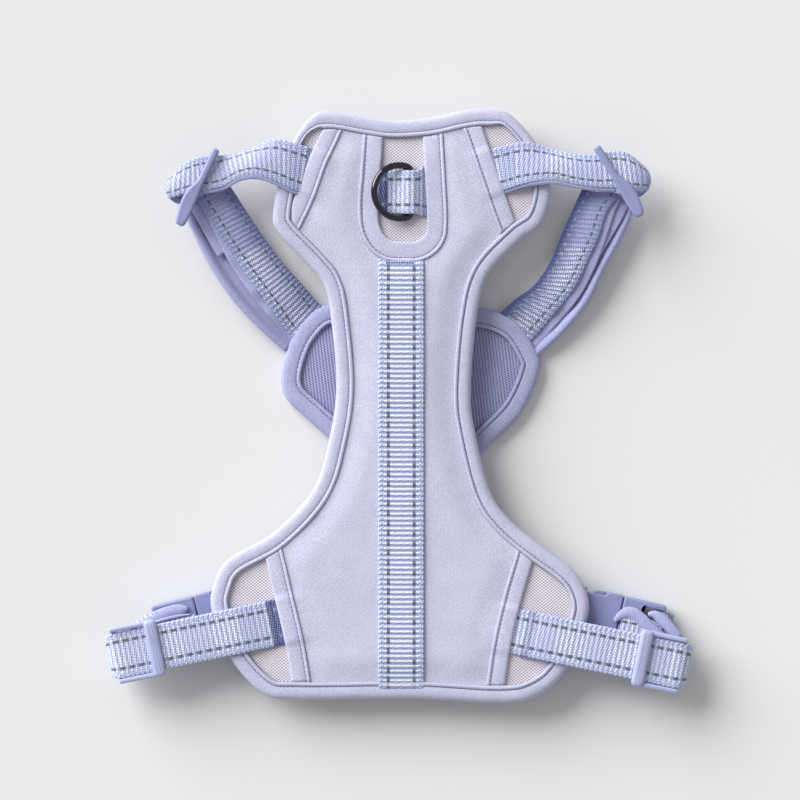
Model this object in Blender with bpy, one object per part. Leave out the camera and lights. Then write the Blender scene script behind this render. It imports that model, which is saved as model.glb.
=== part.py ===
"""No-pull dog harness, laid flat and buckled up.

A padded back panel lies over a smaller padded chest panel. Two neck straps run from the back
panel's upper lobes through their adjusters and fold down to the chest panel's upper corners.
Two belly straps run from its lower lobes through their adjusters, fold under and end in side
release buckles, whose sockets hang on short straps from the chest panel.

Lengths in this file are in millimetres and are turned into metres when a mesh is made.
+X is the harness's right as it lies, +Y is towards its neck, +Z is up from the floor.
"""
import math

import bmesh
import bpy
from mathutils import Vector

MM = 0.001
GAP = 0.3                      # clearance between pieces that touch

# ---- driving sizes -------------------------------------------------------------------
STRAP_WIDTH = 25.0
RING_STRAP_WIDTH = 23.0
WEBBING = 1.2                  # thickness of the woven straps
BACKING = 1.0                  # soft tape sewn under the straps

BACK_UNDERSIDE = 13.0
FABRIC = 0.7
BACK_FOAM = 2.9
BACK_FACE = 0.6
BACK_BINDING_HEIGHT = 6.0
BACK_BINDING_WIDTH = 9.5
BINDING_WALL = 0.8
TUCK = BINDING_WALL + 0.5      # how far the padding stays in from the panel's edge

CHEST_FOAM = 3.4
CHEST_BINDING_HEIGHT = 6.3
CHEST_BINDING_WIDTH = 10.9

BAND_WIDTH = 10.3
WINDOW_BAND_WIDTH = 11.2
OVERLAY_Z = 21.0
OVERLAY = 0.8
BAND_Z = OVERLAY_Z + OVERLAY + GAP
SPINE_CENTRE_X = 2.0
SPINE_TOP_Y = 76.0
SPINE_BOTTOM_Y = -149.0

RING_WIRE = 4.0
RING_RADIUS = 14.4             # of the wire's centreline
RING_HALF_BAR = 13.2
BACK_RING_BAR = (6.0, 115.8, 20.2)
BACK_RING_TILT = 18.4          # degrees that the ring leans up to lie on the window's band
CHEST_RING_BAR = (6.4, 52.6, 3.8)
CHEST_RING_TILT = -5.0

BUCKLE_Z = 7.0
BUCKLE_HALF_WIDTH = 16.5
BUCKLE_HALF_HEIGHT = 5.0
SOCKET_BODY = 24.0
SOCKET_LENGTH = 34.0
PLUG_LENGTH = 24.0

STRAP_Z = 21.2                 # middle of the webbing where it lies outside the panels
TUCKED_Z = 20.1                # middle of the webbing where it lies under the overlay
RING_STRAP_Z = 19.3            # middle of the leash ring's webbing on each side of the bar
RETURN_Z = 9.7                 # middle of the belly webbing on its way back to the buckle

NECK_FOLD_RADIUS = 4.0
NECK_STUB_SLOPE = 0.13         # how fast the strap's end sinks after the fold
SLEEVE_TOP_Z = 15.1            # middle of the sleeve's webbing at the fold
SLEEVE_END_Z = 4.9             # and where it is tucked under the chest panel's binding
SLEEVE = 1.4                   # thickness of the soft sleeve
SLEEVE_DROP = 3.7              # the sleeve lies this much lower than its webbing
SLEEVE_SHIFT = 7.0             # and this much further out
NECK_LOOP = 43.0               # length of the neck slider's closed part
NECK_SLIDER_HALF = 2.0         # half its width
BELLY_SLIDER_LENGTH = 26.0
BELLY_SLIDER_HALF = 15.6       # half its width

LOOP_POINTS = 64

# ---- outlines, in order round the panel --------------------------------------------------
BACK_OUTLINE = [
    (-2.4, 155.0), (17.0, 156.4), (33.4, 160.0), (46.5, 161.5), (60.0, 158.6), (73.6, 144.0),
    (79.6, 131.0), (82.8, 115.0), (77.4, 98.2), (65.5, 88.9), (48.6, 70.4), (42.3, 46.0),
    (39.3, 8.4), (41.4, -13.3), (49.7, -45.9), (60.6, -62.0), (77.4, -76.0), (95.0, -89.4),
    (102.7, -103.0), (102.0, -118.0), (90.0, -145.0), (75.3, -157.6), (55.7, -161.6),
    (7.3, -159.2), (-53.5, -159.6), (-73.5, -156.6), (-91.9, -136.6), (-101.4, -112.0),
    (-100.6, -97.6), (-92.6, -83.4), (-67.9, -68.8), (-46.5, -45.5), (-38.0, -19.6),
    (-33.8, 9.5), (-36.5, 45.4), (-40.3, 64.8), (-49.2, 76.6), (-65.0, 93.2), (-68.2, 105.0),
    (-61.9, 133.4), (-49.4, 155.4), (-38.0, 160.0), (-15.5, 156.6)]

CHEST_OUTLINE = [
    (6.4, 45.0), (24.0, 48.0), (43.3, 53.5), (63.8, 46.2), (75.4, 30.0), (77.1, 18.5),
    (66.6, -4.8), (46.0, -26.0), (36.0, -44.0), (35.0, -62.0), (41.0, -80.0), (50.0, -93.0),
    (52.0, -110.0), (44.0, -127.0), (25.0, -134.0), (6.0, -135.0), (-13.0, -134.0),
    (-32.0, -127.0), (-40.0, -110.0), (-38.0, -93.0), (-29.0, -80.0), (-23.0, -62.0),
    (-24.0, -42.0), (-35.0, -21.6), (-49.0, -8.2), (-62.0, 5.0), (-63.6, 21.0),
    (-55.0, 42.5), (-38.6, 55.2), (-12.0, 48.5)]

WINDOW_LINE = [
    (-12.4, 168.0), (-15.4, 126.0), (-16.6, 109.0), (-15.2, 95.0), (-8.5, 85.6), (2.0, 83.2),
    (12.5, 84.4), (19.5, 90.8), (21.0, 101.0), (20.0, 123.0), (17.4, 168.0)]

OVERLAY_EDGES = {
    "upper_left": [(-28.0, 168.0), (-37.0, 147.0), (-44.0, 132.0), (-51.0, 112.8), (-64.0, 86.0)],
    "upper_right": [(34.0, 168.0), (39.7, 152.0), (49.7, 122.8), (57.5, 100.8), (66.0, 80.0)],
    "lower_left": [(-72.5, -65.0), (-67.6, -80.8), (-62.5, -102.2), (-56.0, -130.2), (-50.5, -164.0)],
    "lower_right": [(73.0, -65.0), (68.2, -82.0), (61.4, -105.2), (55.5, -131.2), (51.0, -164.0)]}

# Middle of each neck strap from under the overlay to its fold, the fold's middle and
# direction, and the middle of the run from the fold down to the chest panel.
NECK = {
    "left": {
        "run": [(-30.0, 119.8), (-46.0, 125.8), (-54.0, 128.6), (-67.0, 131.4), (-80.0, 129.2),
                (-93.0, 125.8), (-107.0, 122.6), (-116.0, 120.5)],
        "crease": (-121.5, 119.2), "crease_side": (0.31, 0.95),
        "down": [(-103.0, 111.4), (-90.4, 93.0), (-75.4, 73.1), (-61.0, 56.6), (-52.5, 47.4)],
        "end_side": (0.74, 0.68), "bar": [(-97.8, 141.4), (-118.4, 97.4)]},
    "right": {
        "run": [(32.0, 118.8), (50.5, 126.0), (58.0, 128.8), (67.0, 130.6), (82.0, 130.2),
                (97.0, 127.2), (112.0, 125.6), (123.0, 124.4)],
        "crease": (130.0, 123.7), "crease_side": (-0.28, 0.96),
        "down": [(111.0, 112.4), (104.5, 98.0), (97.0, 82.4), (86.5, 65.3), (78.0, 54.4),
                 (68.2, 45.6)],
        "end_side": (-0.66, 0.75), "bar": [(106.1, 143.2), (131.2, 101.8)]}}

# Middle line of each belly strap, its buckle's seam and the direction out of the socket.
BELLY = {
    "left": {"start": (-42.0, -112.6), "fold": (-151.6, -135.5), "seam": (-107.8, -119.4),
             "out": (-0.971, -0.239), "chest_end": (-42.3, -103.4)},
    "right": {"start": (42.0, -118.0), "fold": (151.6, -140.9), "seam": (119.2, -119.5),
              "out": (0.975, -0.2215), "chest_end": (54.6, -105.4)}}

COLOURS = {
    "overlay": ("#D2D1E6", 0.85, 0.0), "mesh": ("#D6CBD9", 0.9, 0.0),
    "chest_mesh": ("#9A9AC4", 0.9, 0.0), "binding": ("#C6C8E8", 0.85, 0.0),
    "foam": ("#E4E2EA", 0.95, 0.0), "webbing": ("#B9C6EA", 0.7, 0.0),
    "backing": ("#BFC1E6", 0.85, 0.0), "plastic": ("#A9B0DA", 0.45, 0.0),
    "ring": ("#2E2C33", 0.22, 1.0)}


# ---- helpers -----------------------------------------------------------------------------
def linear(hex_colour):
    """A hex colour as linear red, green, blue and alpha."""
    parts = [int(hex_colour[i:i + 2], 16) / 255 for i in (1, 3, 5)]
    return [c / 12.92 if c < 0.04 else ((c + 0.055) / 1.055) ** 2.4 for c in parts] + [1.0]


def finish_of(slot, name):
    """The material of one sub-part, with the colour and finish of its kind."""
    colour, roughness, metallic = COLOURS[slot]
    material = bpy.data.materials.new(name)
    material.use_nodes = True
    shader = material.node_tree.nodes["Principled BSDF"]
    shader.inputs["Base Color"].default_value = linear(colour)
    shader.inputs["Roughness"].default_value = roughness
    shader.inputs["Metallic"].default_value = metallic
    return material


def add_solid(name, points, faces, slot, origin=(0.0, 0.0, 0.0)):
    """A closed mesh object from points in millimetres, with its origin at a given place."""
    mesh = bpy.data.meshes.new(name)
    shift = Vector(origin)
    mesh.from_pydata([(Vector(p) - shift) * MM for p in points], [], faces)
    shape = bmesh.new()
    shape.from_mesh(mesh)
    bmesh.ops.recalc_face_normals(shape, faces=shape.faces)
    shape.to_mesh(mesh)
    shape.free()
    obj = bpy.data.objects.new(name, mesh)
    obj.location = shift * MM
    bpy.context.scene.collection.objects.link(obj)
    if slot:
        mesh.materials.append(finish_of(slot, name))
    return obj


def spline(points, closed, count):
    """Evenly spaced points on the smooth curve through the given ones."""
    total = len(points)
    dense = []
    for i in range(total if closed else total - 1):
        around = []
        for k in (i - 1, i, i + 1, i + 2):
            k = k % total if closed else min(max(k, 0), total - 1)
            around.append(Vector(points[k]))
        p0, p1, p2, p3 = around
        for step in range(16):
            t = step / 16
            dense.append(0.5 * (2 * p1 + (p2 - p0) * t + (2 * p0 - 5 * p1 + 4 * p2 - p3) * t * t
                                + (3 * p1 - p0 - 3 * p2 + p3) * t ** 3))
    dense.append(Vector(points[0 if closed else -1]))
    lengths = [0.0]
    for a, b in zip(dense, dense[1:]):
        lengths.append(lengths[-1] + (b - a).length)
    spaces = count if closed else count - 1
    result = []
    k = 0
    for i in range(count):
        target = lengths[-1] * i / spaces
        while k < len(lengths) - 2 and lengths[k + 1] < target:
            k += 1
        part = (target - lengths[k]) / (lengths[k + 1] - lengths[k])
        result.append(dense[k].lerp(dense[k + 1], min(part, 1.0)))
    return result


def inward(loop, distance):
    """A loop moved inwards by a distance; the loop runs clockwise seen from above."""
    moved = []
    for i, point in enumerate(loop):
        along = (loop[(i + 1) % len(loop)] - loop[i - 1]).normalized()
        moved.append(point + Vector((along.y, -along.x)) * distance)
    return moved


def prism(name, loop, low, high, slot, origin=(0.0, 0.0, 0.0)):
    """A flat plate with a given outline."""
    count = len(loop)
    points = [(p[0], p[1], z) for z in (low, high) for p in loop]
    faces = [tuple(range(count)), tuple(range(count, 2 * count))]
    faces += [(i, (i + 1) % count, count + (i + 1) % count, count + i) for i in range(count)]
    return add_solid(name, points, faces, slot, origin)


def tube(sections, closed):
    """Points and faces of a skin over equal sections, each a list of points."""
    size = len(sections[0])
    points = [p for section in sections for p in section]
    faces = []
    last = len(sections) if closed else len(sections) - 1
    for i in range(last):
        here, there = i * size, (i + 1) % len(sections) * size
        faces += [(here + k, here + (k + 1) % size, there + (k + 1) % size, there + k)
                  for k in range(size)]
    if not closed:
        faces += [tuple(range(size)), tuple(range(len(points) - size, len(points)))]
    return points, faces


def channel(name, loop, width, low, high, slot):
    """Binding tape folded round a panel's edge: a C section that opens inwards."""
    wall = BINDING_WALL
    profile = [(0, low), (0, high), (width, high), (width, high - wall), (wall, high - wall),
               (wall, low + wall), (width, low + wall), (width, low)]
    rings = [[(p.x, p.y, z) for p in inward(loop, depth)] for depth, z in profile]
    sections = [[ring[i] for ring in rings] for i in range(len(loop))]
    points, faces = tube(sections, True)
    return add_solid(name, points, faces, slot)


def ribbon(name, centres, sides, width, thickness, slot, square=True):
    """A strap: a flat band along its centres; square keeps its width where it runs askew."""
    sections = []
    for i, centre in enumerate(centres):
        centre = Vector(centre)
        before = Vector(centres[max(i - 1, 0)])
        after = Vector(centres[min(i + 1, len(centres) - 1)])
        run_in = (centre - before).normalized() if i else (after - centre).normalized()
        run_out = (after - centre).normalized() if i < len(centres) - 1 else run_in
        run = (run_in + run_out).normalized()
        side = Vector((sides[i][0], sides[i][1], 0.0)).normalized()
        normal = side.cross(run).normalized()
        turn = max(run.dot(run_out), 0.5)
        flat = Vector((run.x, run.y, 0.0))
        skew = 1.0
        if square and flat.length > 0.3:
            skew = max(abs(side.cross(flat.normalized()).z), 0.6)
        across = side * width / 2 / skew
        up = normal * thickness / 2 / turn
        sections.append([centre - across - up, centre + across - up,
                         centre + across + up, centre - across + up])
    points, faces = tube(sections, False)
    return add_solid(name, points, faces, slot)


def box(low, high):
    """Corner points and faces of a box."""
    points = [(x, y, z) for z in (low[2], high[2]) for y in (low[1], high[1])
              for x in (low[0], high[0])]
    faces = [(0, 1, 3, 2), (4, 5, 7, 6), (0, 1, 5, 4), (2, 3, 7, 6), (0, 2, 6, 4), (1, 3, 7, 5)]
    return points, faces


def apply_boolean(obj, tool, operation):
    """Add a Boolean to an object; the tool stays in the file as a guide only."""
    step = obj.modifiers.new(tool.name, "BOOLEAN")
    step.operation = operation
    step.solver = "EXACT"
    step.object = tool
    tool.hide_render = True
    tool.display_type = "WIRE"


def block(name, frame, low, high, slot=None):
    """A box in a local frame: u outwards, v across and w up."""
    points, faces = box(low, high)
    place = frame["origin"]
    moved = [place + frame["u"] * p[0] + frame["v"] * p[1] + Vector((0, 0, p[2])) for p in points]
    return add_solid(name, moved, faces, slot, place)


def perpendicular(run):
    """The level direction square to a run, to its left."""
    return Vector((-run[1], run[0])).normalized()


# ---- back panel --------------------------------------------------------------------------
def make_back_panel():
    outline = spline(BACK_OUTLINE, True, LOOP_POINTS)
    base = BACK_UNDERSIDE
    field = inward(outline, BACK_BINDING_WIDTH + GAP)
    tucked = inward(outline, TUCK)
    foam_low = base + BINDING_WALL + GAP
    face_low = foam_low + BACK_FOAM + GAP
    prism("back_lining", field, base, base + FABRIC, "mesh")
    prism("back_foam", tucked, foam_low, foam_low + BACK_FOAM, "foam")
    prism("back_face", tucked, face_low, face_low + BACK_FACE, "mesh")
    channel("back_binding", outline, BACK_BINDING_WIDTH, base, base + BACK_BINDING_HEIGHT, "binding")

    edges = {side: spline(line, False, 14) for side, line in OVERLAY_EDGES.items()}
    window = spline(WINDOW_LINE, False, 24)
    sheet = list(window) + edges["upper_right"] + [Vector((76.0, 40.0)), Vector((76.0, -40.0))]
    sheet += edges["lower_right"] + list(reversed(edges["lower_left"]))
    sheet += [Vector((-76.0, -40.0)), Vector((-76.0, 40.0))] + list(reversed(edges["upper_left"]))
    guide = prism("guide_inner_field", field, 0.0, 40.0, None)
    overlay = prism("back_overlay", sheet, OVERLAY_Z, OVERLAY_Z + OVERLAY, "overlay")
    apply_boolean(overlay, guide, "INTERSECT")
    for side, line in edges.items():
        trim = strip("overlay_band_" + side, line, BAND_WIDTH)
        apply_boolean(trim, guide, "INTERSECT")
    apply_boolean(strip("window_band", window, WINDOW_BAND_WIDTH), guide, "INTERSECT")

    half = STRAP_WIDTH / 2
    spine = [(SPINE_CENTRE_X - half, SPINE_BOTTOM_Y), (SPINE_CENTRE_X - half, SPINE_TOP_Y),
             (SPINE_CENTRE_X + half, SPINE_TOP_Y), (SPINE_CENTRE_X + half, SPINE_BOTTOM_Y)]
    prism("spine_webbing", spine, BAND_Z, BAND_Z + WEBBING, "webbing")


def strip(name, line, width):
    """A sewn band of even width along a line, lying on the overlay."""
    right, left = [], []
    for i, point in enumerate(line):
        along = (line[min(i + 1, len(line) - 1)] - line[max(i - 1, 0)]).normalized()
        across = Vector((along.y, -along.x)) * width / 2
        right.append(point + across)
        left.append(point - across)
    return prism(name, left + list(reversed(right)), BAND_Z, BAND_Z + OVERLAY, "binding")


# ---- chest panel -------------------------------------------------------------------------
def make_chest_panel():
    outline = spline(CHEST_OUTLINE, True, LOOP_POINTS)
    field = inward(outline, CHEST_BINDING_WIDTH + GAP)
    tucked = inward(outline, TUCK)
    foam_low = BINDING_WALL + GAP
    top = CHEST_BINDING_HEIGHT
    prism("chest_shell", field, 0.0, BINDING_WALL, "overlay")
    prism("chest_foam", tucked, foam_low, foam_low + CHEST_FOAM, "foam")
    prism("chest_lining", field, top - 2 * FABRIC, top - FABRIC, "chest_mesh")
    channel("chest_binding", outline, CHEST_BINDING_WIDTH, 0.0, top, "binding")


# ---- leash rings -------------------------------------------------------------------------
def ring_line():
    """Centreline of a D-ring in its own plane: the bar lies on the y axis, the bow at -x."""
    sweep = math.asin(RING_HALF_BAR / RING_RADIUS)
    middle = -RING_RADIUS * math.cos(sweep)
    first = sweep
    line = [Vector((0.0, y)) for y in (RING_HALF_BAR - 1.6, 0.0, 1.6 - RING_HALF_BAR)]
    steps = 20
    for i in range(steps + 1):
        angle = -first - (2 * math.pi - 2 * first) * i / steps
        point = Vector((middle + RING_RADIUS * math.cos(angle), RING_RADIUS * math.sin(angle)))
        if i in (0, steps):
            point = point.lerp(Vector((0.0, point.y * 0.94)), 0.4)
        line.append(point)
    return line


def make_ring(name, bar, direction, tilt):
    """A D-ring whose bow points along a level direction, tilted up about its bar."""
    line = ring_line()
    bow = Vector((direction[0], direction[1], 0.0))
    level = Vector((-bow.y, bow.x, 0.0))
    lean = math.radians(tilt)
    out = bow * math.cos(lean) + Vector((0, 0, math.sin(lean)))
    plane_normal = out.cross(level)
    sections = []
    for i, point in enumerate(line):
        along = (line[(i + 1) % len(line)] - line[i - 1]).normalized()
        run = out * -along.x + level * along.y
        across = run.cross(plane_normal).normalized()
        centre = Vector(bar) + out * -point.x + level * point.y
        sections.append([centre + (across * math.cos(a) + plane_normal * math.sin(a)) * RING_WIRE / 2
                         for a in [2 * math.pi * k / 8 for k in range(8)]])
    points, faces = tube(sections, True)
    make = add_solid(name, points, faces, "ring", bar)
    make.data.shade_smooth()
    return make


def make_leash_points():
    make_ring("leash_ring", BACK_RING_BAR, (-1.0, 0.0), BACK_RING_TILT)
    x, y, z = BACK_RING_BAR
    reach = RING_WIRE / 2 + WEBBING / 2 + GAP
    line = [(-21.0, y + 1.2, RING_STRAP_Z), (-12.0, y + 0.4, RING_STRAP_Z)]
    for degrees in range(30, 151, 15):
        angle = math.radians(180 - degrees)
        line.append((x + 1.7 * reach * math.cos(angle), y, z + reach * math.sin(angle)))
    line += [(18.0, y + 0.6, RING_STRAP_Z), (24.0, y + 1.2, RING_STRAP_Z)]
    ribbon("ring_webbing", line, [(0.0, 1.0)] * len(line), RING_STRAP_WIDTH, WEBBING, "webbing")

    make_ring("front_ring", CHEST_RING_BAR, (0.0, 1.0), CHEST_RING_TILT)
    x, y, z = CHEST_RING_BAR
    start = y - 4.0
    tab = [(x, start, z + reach)]
    for degrees in range(90, -91, -20):
        angle = math.radians(degrees)
        tab.append((x, y + reach * math.cos(angle), z + reach * math.sin(angle)))
    tab.append((x, start, z - reach))
    ribbon("front_ring_loop", tab, [(1.0, 0.0)] * len(tab), RING_STRAP_WIDTH, WEBBING, "webbing")


# ---- neck straps -------------------------------------------------------------------------
def make_neck_strap(side, data):
    run = [Vector(p) for p in data["run"]]
    towards = (run[-1] - run[-2]).normalized()
    square = perpendicular(towards)
    crease = Vector(data["crease"])
    crease_side = Vector(data["crease_side"])
    if square.dot(crease_side) < 0:
        square = -square
    drop = NECK_FOLD_RADIUS
    centres = []
    sides = []
    for i, point in enumerate(run):
        height = TUCKED_Z if i < 2 else STRAP_Z
        centres.append((point.x, point.y, height))
        way = (run[min(i + 1, len(run) - 1)] - run[max(i - 1, 0)]).normalized()
        across = perpendicular(way)
        sides.append(across if across.dot(square) > 0 else -across)
    backing = list(zip(centres, sides))[:-1]
    for degrees in range(80, -81, -20):
        angle = math.radians(degrees)
        spot = crease + towards * (drop * math.cos(angle) - 1.0)
        centres.append((spot.x, spot.y, STRAP_Z - drop + drop * math.sin(angle)))
        sides.append(crease_side)
    down = [Vector(p) for p in data["down"]]
    back = (down[1] - down[0]).normalized()
    back_side = perpendicular(back)
    if back_side.dot(crease_side) < 0:
        back_side = -back_side
    stub_z = STRAP_Z - 2 * drop
    for reach in (0.0, 14.0, 28.0):
        spot = crease + back * (16.0 + reach)
        centres.append((spot.x, spot.y, stub_z - reach * NECK_STUB_SLOPE))
        sides.append(back_side)
    ribbon("neck_webbing_" + side, centres, sides, STRAP_WIDTH, WEBBING, "webbing")

    under = WEBBING / 2 + BACKING / 2 + GAP
    lower = [(c[0], c[1], c[2] - under) for c, _ in backing]
    ribbon("neck_backing_" + side, lower, [s for _, s in backing], STRAP_WIDTH + 1.0, BACKING,
           "backing")
    make_neck_sleeve(side, down, Vector(data["end_side"]))
    make_neck_slider(side, data)


def make_neck_sleeve(side, down, end_side):
    """The run from the fold down to the chest panel: webbing over a softer sleeve."""
    smooth = spline(down, False, 9)
    total = sum((b - a).length for a, b in zip(smooth, smooth[1:]))
    travelled = 0.0
    centres, sides, under = [], [], []
    for i, point in enumerate(smooth):
        if i:
            travelled += (point - smooth[i - 1]).length
        way = (smooth[min(i + 1, 8)] - smooth[max(i - 1, 0)]).normalized()
        across = perpendicular(way)
        if across.dot(end_side) < 0:
            across = -across
        share = travelled / total
        across = across.lerp(end_side, max(share * 3 - 2, 0.0))
        height = SLEEVE_TOP_Z + (SLEEVE_END_Z - SLEEVE_TOP_Z) * share
        centres.append((point.x, point.y, height))
        sides.append(across)
        outside = point - across.normalized() * SLEEVE_SHIFT
        under.append((outside.x, outside.y, height - SLEEVE_DROP))
    ribbon("neck_sleeve_webbing_" + side, centres, sides, STRAP_WIDTH, WEBBING, "webbing")
    ribbon("neck_sleeve_" + side, under[1:], sides[1:], STRAP_WIDTH, SLEEVE, "backing")


def make_neck_slider(side, data):
    """The neck adjuster: a slim loop over the strap with a leaf-shaped grip at one end."""
    top, bottom = [Vector(p) for p in data["bar"]]
    along = (bottom - top).normalized()
    across = perpendicular(along)
    length = (bottom - top).length
    frame = {"origin": Vector((top.x, top.y, 0.0)), "u": Vector((along.x, along.y, 0.0)),
             "v": Vector((across.x, across.y, 0.0))}
    name = "neck_slider_" + side
    bar_top, bar_low = STRAP_Z + WEBBING / 2 + 0.4, STRAP_Z - WEBBING / 2 - BACKING - 1.0
    half = NECK_SLIDER_HALF
    slider = block(name, frame, (0.0, -half, bar_low - 2.4), (NECK_LOOP, half, bar_top + 2.6),
                   "plastic")
    hole = block("guide_slot_" + name, frame, (2.4, -half - 1.0, bar_low),
                 (NECK_LOOP - 2.4, half + 1.0, bar_top))
    apply_boolean(slider, hole, "DIFFERENCE")
    leaf = [(22.0, 0.0), (26.0, 3.1), (32.0, 4.0), (40.0, 3.6), (length - 1.5, 2.4), (length, 0.0),
            (length - 1.5, -2.4), (40.0, -3.6), (32.0, -3.6), (26.0, -2.2)]
    plan = [top + along * u + across * v for u, v in leaf]
    grip = prism("guide_grip_" + name, plan, bar_top + 0.2, bar_top + 3.0, None)
    apply_boolean(slider, grip, "UNION")


# ---- belly straps and buckles ------------------------------------------------------------
def make_belly_strap(side, data):
    start, fold = Vector(data["start"]), Vector(data["fold"])
    along = (fold - start).normalized()
    square = perpendicular(along)
    outwards = Vector(data["out"])
    buckle_side = perpendicular(outwards)
    seam = Vector(data["seam"])
    reach = (STRAP_Z - RETURN_Z) / 2
    length = (fold - start).length
    centres, sides = [], []

    def add(spot, height, across):
        centres.append((spot.x, spot.y, height))
        sides.append(across)

    for distance, height in ((0.0, TUCKED_Z), (27.0, TUCKED_Z), (34.0, STRAP_Z), (60.0, STRAP_Z),
                             (length, STRAP_Z)):
        add(start + along * distance, height, square)
    flat = list(zip(centres, sides))
    for degrees in range(70, -91, -20):
        angle = math.radians(degrees)
        add(fold + along * reach * math.cos(angle), RETURN_Z + reach + reach * math.sin(angle), square)
    bar = seam + outwards * (PLUG_LENGTH - 1.6)
    entry = bar + outwards * 2.5
    add(entry.lerp(fold, 0.25), RETURN_Z + 0.3, square.lerp(buckle_side, 0.7))
    hook = RETURN_Z - BUCKLE_Z
    for degrees in range(75, 286, 30):
        angle = math.radians(degrees)
        spot = bar + outwards * (1.25 * hook * math.cos(angle))
        add(spot, BUCKLE_Z + hook * math.sin(angle), buckle_side)
    add(bar + outwards * 7.0, BUCKLE_Z - hook, buckle_side)
    ribbon("belly_webbing_" + side, centres, sides, STRAP_WIDTH, WEBBING, "webbing", square=False)

    under = WEBBING / 2 + BACKING / 2 + GAP
    lower = [(c[0], c[1], c[2] - under) for c, _ in flat]
    ribbon("belly_backing_" + side, lower, [s for _, s in flat], STRAP_WIDTH + 1.0, BACKING,
           "backing")
    make_belly_slider(side, fold, along)


def make_belly_slider(side, fold, along):
    """The belly adjuster: a frame with three bars that the strap weaves through."""
    name = "belly_slider_" + side
    inner = Vector((fold.x, fold.y, 0.0)) - Vector((along.x, along.y, 0.0)) * 23.4
    across = perpendicular(along)
    frame = {"origin": inner, "u": Vector((along.x, along.y, 0.0)),
             "v": Vector((across.x, across.y, 0.0))}
    low, middle, high = 16.2, 18.8, STRAP_Z + WEBBING / 2 + 0.4
    end, outside = BELLY_SLIDER_LENGTH, BELLY_SLIDER_HALF
    inside = outside - 2.2
    slider = block(name, frame, (0.0, -outside, high), (7.0, outside, high + 2.6), "plastic")
    pieces = [((0.0, inside, low), (end, outside, high + 1.2)),
              ((0.0, -outside, low), (end, -inside, high + 1.2)),
              ((11.0, -outside, low), (14.5, outside, middle)),
              ((end - 3.5, -outside, low), (end, outside, middle))]
    for i, (a, b) in enumerate(pieces):
        apply_boolean(slider, block("guide_%s_%d" % (name, i), frame, a, b), "UNION")


def buckle_frame(data):
    out = data["out"]
    across = perpendicular(out)
    return {"origin": Vector((data["seam"][0], data["seam"][1], BUCKLE_Z)),
            "u": Vector((out[0], out[1], 0.0)), "v": Vector((across.x, across.y, 0.0))}


def make_socket(side, frame):
    """The buckle's socket: a hollow body with a release window on each side and a strap bar."""
    wide, tall = BUCKLE_HALF_WIDTH, BUCKLE_HALF_HEIGHT
    name = "buckle_socket_" + side
    socket = block(name, frame, (-SOCKET_BODY, -wide, -tall), (0.0, wide, tall), "plastic")
    cuts = [((-21.5, -14.6, -3.2), (1.0, 14.6, 3.2)), ((-20.5, -18.0, -3.2), (-9.8, 18.0, 3.2))]
    joins = [((-SOCKET_LENGTH, 13.6, -2.4), (-SOCKET_BODY + 0.5, wide - 0.4, 2.4)),
             ((-SOCKET_LENGTH, -wide + 0.4, -2.4), (-SOCKET_BODY + 0.5, -13.6, 2.4)),
             ((-SOCKET_LENGTH, -wide + 0.4, -1.2), (-SOCKET_LENGTH + 3.2, wide - 0.4, 1.2))]
    for i, (a, b) in enumerate(cuts):
        apply_boolean(socket, block("guide_%s_cut_%d" % (name, i), frame, a, b), "DIFFERENCE")
    for i, (a, b) in enumerate(joins):
        apply_boolean(socket, block("guide_%s_join_%d" % (name, i), frame, a, b), "UNION")


def make_plug(side, frame):
    """The buckle's plug: a block with a guide tongue and a strap bar."""
    wide, tall = BUCKLE_HALF_WIDTH - 0.3, BUCKLE_HALF_HEIGHT
    name = "buckle_plug_" + side
    plug = block(name, frame, (GAP, -wide, -tall), (12.0, wide, tall), "plastic")
    joins = [((-18.5, -2.6, -1.6), (1.0, 2.6, 1.6)),
             ((11.5, 13.6, -3.6), (PLUG_LENGTH, wide, 3.6)),
             ((11.5, -wide, -3.6), (PLUG_LENGTH, -13.6, 3.6)),
             ((PLUG_LENGTH - 3.2, -wide, -1.2), (PLUG_LENGTH, wide, 1.2))]
    for i, (a, b) in enumerate(joins):
        apply_boolean(plug, block("guide_%s_join_%d" % (name, i), frame, a, b), "UNION")


def make_prong(side, place, frame, mirror):
    """One sprung arm of the plug, with the barb that shows in the socket's window."""
    outline = [(-0.5, 8.4), (-0.5, 12.0), (-10.2, 12.8), (-10.2, 16.3), (-14.5, 16.1),
               (-19.6, 12.9), (-20.2, 11.2), (-18.8, 10.2), (-12.0, 9.6)]
    start = frame["origin"]
    plan = [start + frame["u"] * u + frame["v"] * (v * mirror) for u, v in outline]
    pivot = start + frame["u"] * -0.5 + frame["v"] * (10.2 * mirror)
    prism("buckle_prong_%s_%s" % (side, place), [(p.x, p.y) for p in plan], BUCKLE_Z - 2.6,
          BUCKLE_Z + 2.6, "plastic", (pivot.x, pivot.y, BUCKLE_Z))


def make_chest_strap(side, data):
    """The short strap from the chest panel that loops round the socket's bar."""
    seam, outwards = Vector(data["seam"]), Vector(data["out"])
    across = perpendicular(outwards)
    bar = seam - outwards * (SOCKET_LENGTH - 1.6)
    start = Vector(data["chest_end"])
    hook = 1.7 + GAP + WEBBING / 2
    centres = [(start.x, start.y, 3.2)]
    entry = bar - outwards * 6.0
    centres.append((entry.x, entry.y, BUCKLE_Z + hook - 0.4))
    sides = [across, across]
    for degrees in range(105, -106, -30):
        angle = math.radians(degrees)
        spot = bar + outwards * (1.2 * hook * math.cos(angle))
        centres.append((spot.x, spot.y, BUCKLE_Z + hook * math.sin(angle)))
        sides.append(across)
    end = bar - outwards * 6.0
    centres.append((end.x, end.y, BUCKLE_Z - hook))
    sides.append(across)
    ribbon("chest_strap_" + side, centres, sides, STRAP_WIDTH, WEBBING, "webbing")


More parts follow.
